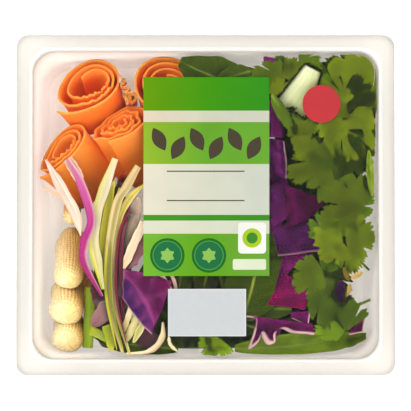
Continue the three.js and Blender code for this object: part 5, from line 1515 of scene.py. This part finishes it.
panel_skin = Skin()
label_slab(panel_skin, panel_low, panel_high, linear("#e9ebea"))
inner_low = panel_low + PANEL_BORDER
inner_high = panel_high - PANEL_BORDER
inner_panel = round_box(inner_low[0], inner_low[1], inner_high[0], inner_high[1], PANEL_CORNER)
panel_top = panel_high[2] - (PRINT_LAYERS - 1) * PRINT_STEP
flat_print(panel_skin, inner_panel, panel_top, linear("#d8dcdc"))
panel = panel_skin.build("plain_date_panel", matt_panel)
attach(panel, "root")
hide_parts("date_label")

# ------------------------------------------------------------------ round sticker
# A plain round red sticker of printed film is stuck on the lid at the top right, over the leaves, with a
# fine ring of another red at its edge.
STICKER_RING = 0.5
STICKER_SIDES = 72
sticker_low, sticker_high = (np.array(corner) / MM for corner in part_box("round_sticker"))
sticker_x, sticker_y = (sticker_low + sticker_high)[:2] / 2
sticker_radius = (sticker_high - sticker_low)[0] / 2
sticker_skin = Skin()
edge = disc(sticker_x, sticker_y, sticker_radius, STICKER_SIDES)
sticker_top = sticker_high[2] - 2 * PRINT_STEP
levels = np.array([np.column_stack([edge, np.full(STICKER_SIDES, z)]) for z in (sticker_low[2], sticker_top)])
sticker_skin.add(levels, loft(levels), linear("#c43a40"))
inner = disc(sticker_x, sticker_y, sticker_radius - STICKER_RING, STICKER_SIDES)
flat_print(sticker_skin, inner, sticker_high[2] - PRINT_STEP, linear("#c53b40"))
sticker = sticker_skin.build("plain_red_sticker", satin_print)
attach(sticker, "root")
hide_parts("round_sticker")

# ------------------------------------------------------------------ the stage
# The pack lies on a plain white sweep under large soft lights, and is seen from straight above through
# a long lens. A pixel of the photograph is 0.58 mm at the film.
PHOTO_PIXELS = 411
PIXEL_SIZE = 0.58
CAMERA_DISTANCE = 1400
CAMERA_TILT = math.radians(1.5)
VIEW_CENTRE = np.array([-0.1, -0.35, TRAY_TOP])
FLOOR_REACH = 3  # in metres

# Matt white paper, lit so evenly that it reads as white.
white_sweep = new_material("white_sweep")
tree = white_sweep.node_tree
paper = add_node(tree, "ShaderNodeBsdfPrincipled", {
    "Base Color": rgba("#ffffff"), "Roughness": 0.9,
    "Emission Color": rgba("#ffffff"), "Emission Strength": 0.7})
add_node(tree, "ShaderNodeOutputMaterial", {"Surface": paper.outputs["BSDF"]})
floor_mesh = bpy.data.meshes.new("floor")
floor_corners = [(x * FLOOR_REACH, y * FLOOR_REACH, 0) for x, y in ((-1, -1), (1, -1), (1, 1), (-1, 1))]
floor_mesh.from_pydata(floor_corners, [], [(0, 1, 2, 3)])
floor_mesh.materials.append(white_sweep)
floor = bpy.data.objects.new("floor", floor_mesh)
bpy.context.scene.collection.objects.link(floor)

world = bpy.data.worlds.new("soft_room")
world.use_nodes = True
world.node_tree.nodes["Background"].inputs["Color"].default_value = (1, 1, 1, 1)
world.node_tree.nodes["Background"].inputs["Strength"].default_value = 1.2
bpy.context.scene.world = world

SOFT_BOXES = {  # position in metres, width in metres, power in watts
    "key_box": ((-0.5, 0.45, 1.25), 0.5, 8),
    "fill_box": ((0.35, -0.85, 1.15), 0.9, 12),
}
for name, (position, width, power) in SOFT_BOXES.items():
    light = bpy.data.lights.new(name, "AREA")
    light.size = width
    light.energy = power
    lamp = bpy.data.objects.new(name, light)
    lamp.location = position
    toward = -np.array(position) / np.linalg.norm(position)
    lamp.rotation_euler = (math.acos(-toward[2]), 0, math.atan2(toward[1], toward[0]) - math.pi / 2)
    bpy.context.scene.collection.objects.link(lamp)

camera_data = bpy.data.cameras.new("camera")
camera_data.sensor_width = 36
camera_data.lens = camera_data.sensor_width * CAMERA_DISTANCE / (PHOTO_PIXELS * PIXEL_SIZE)
camera_data.clip_end = 10
camera = bpy.data.objects.new("camera", camera_data)
offset = CAMERA_DISTANCE * np.array([0, -math.sin(CAMERA_TILT), math.cos(CAMERA_TILT)])
camera.location = (VIEW_CENTRE + offset) * MM
camera.rotation_euler = (CAMERA_TILT, 0, 0)
bpy.context.scene.collection.objects.link(camera)
bpy.context.scene.camera = camera
bpy.context.scene.view_settings.view_transform = "Standard"
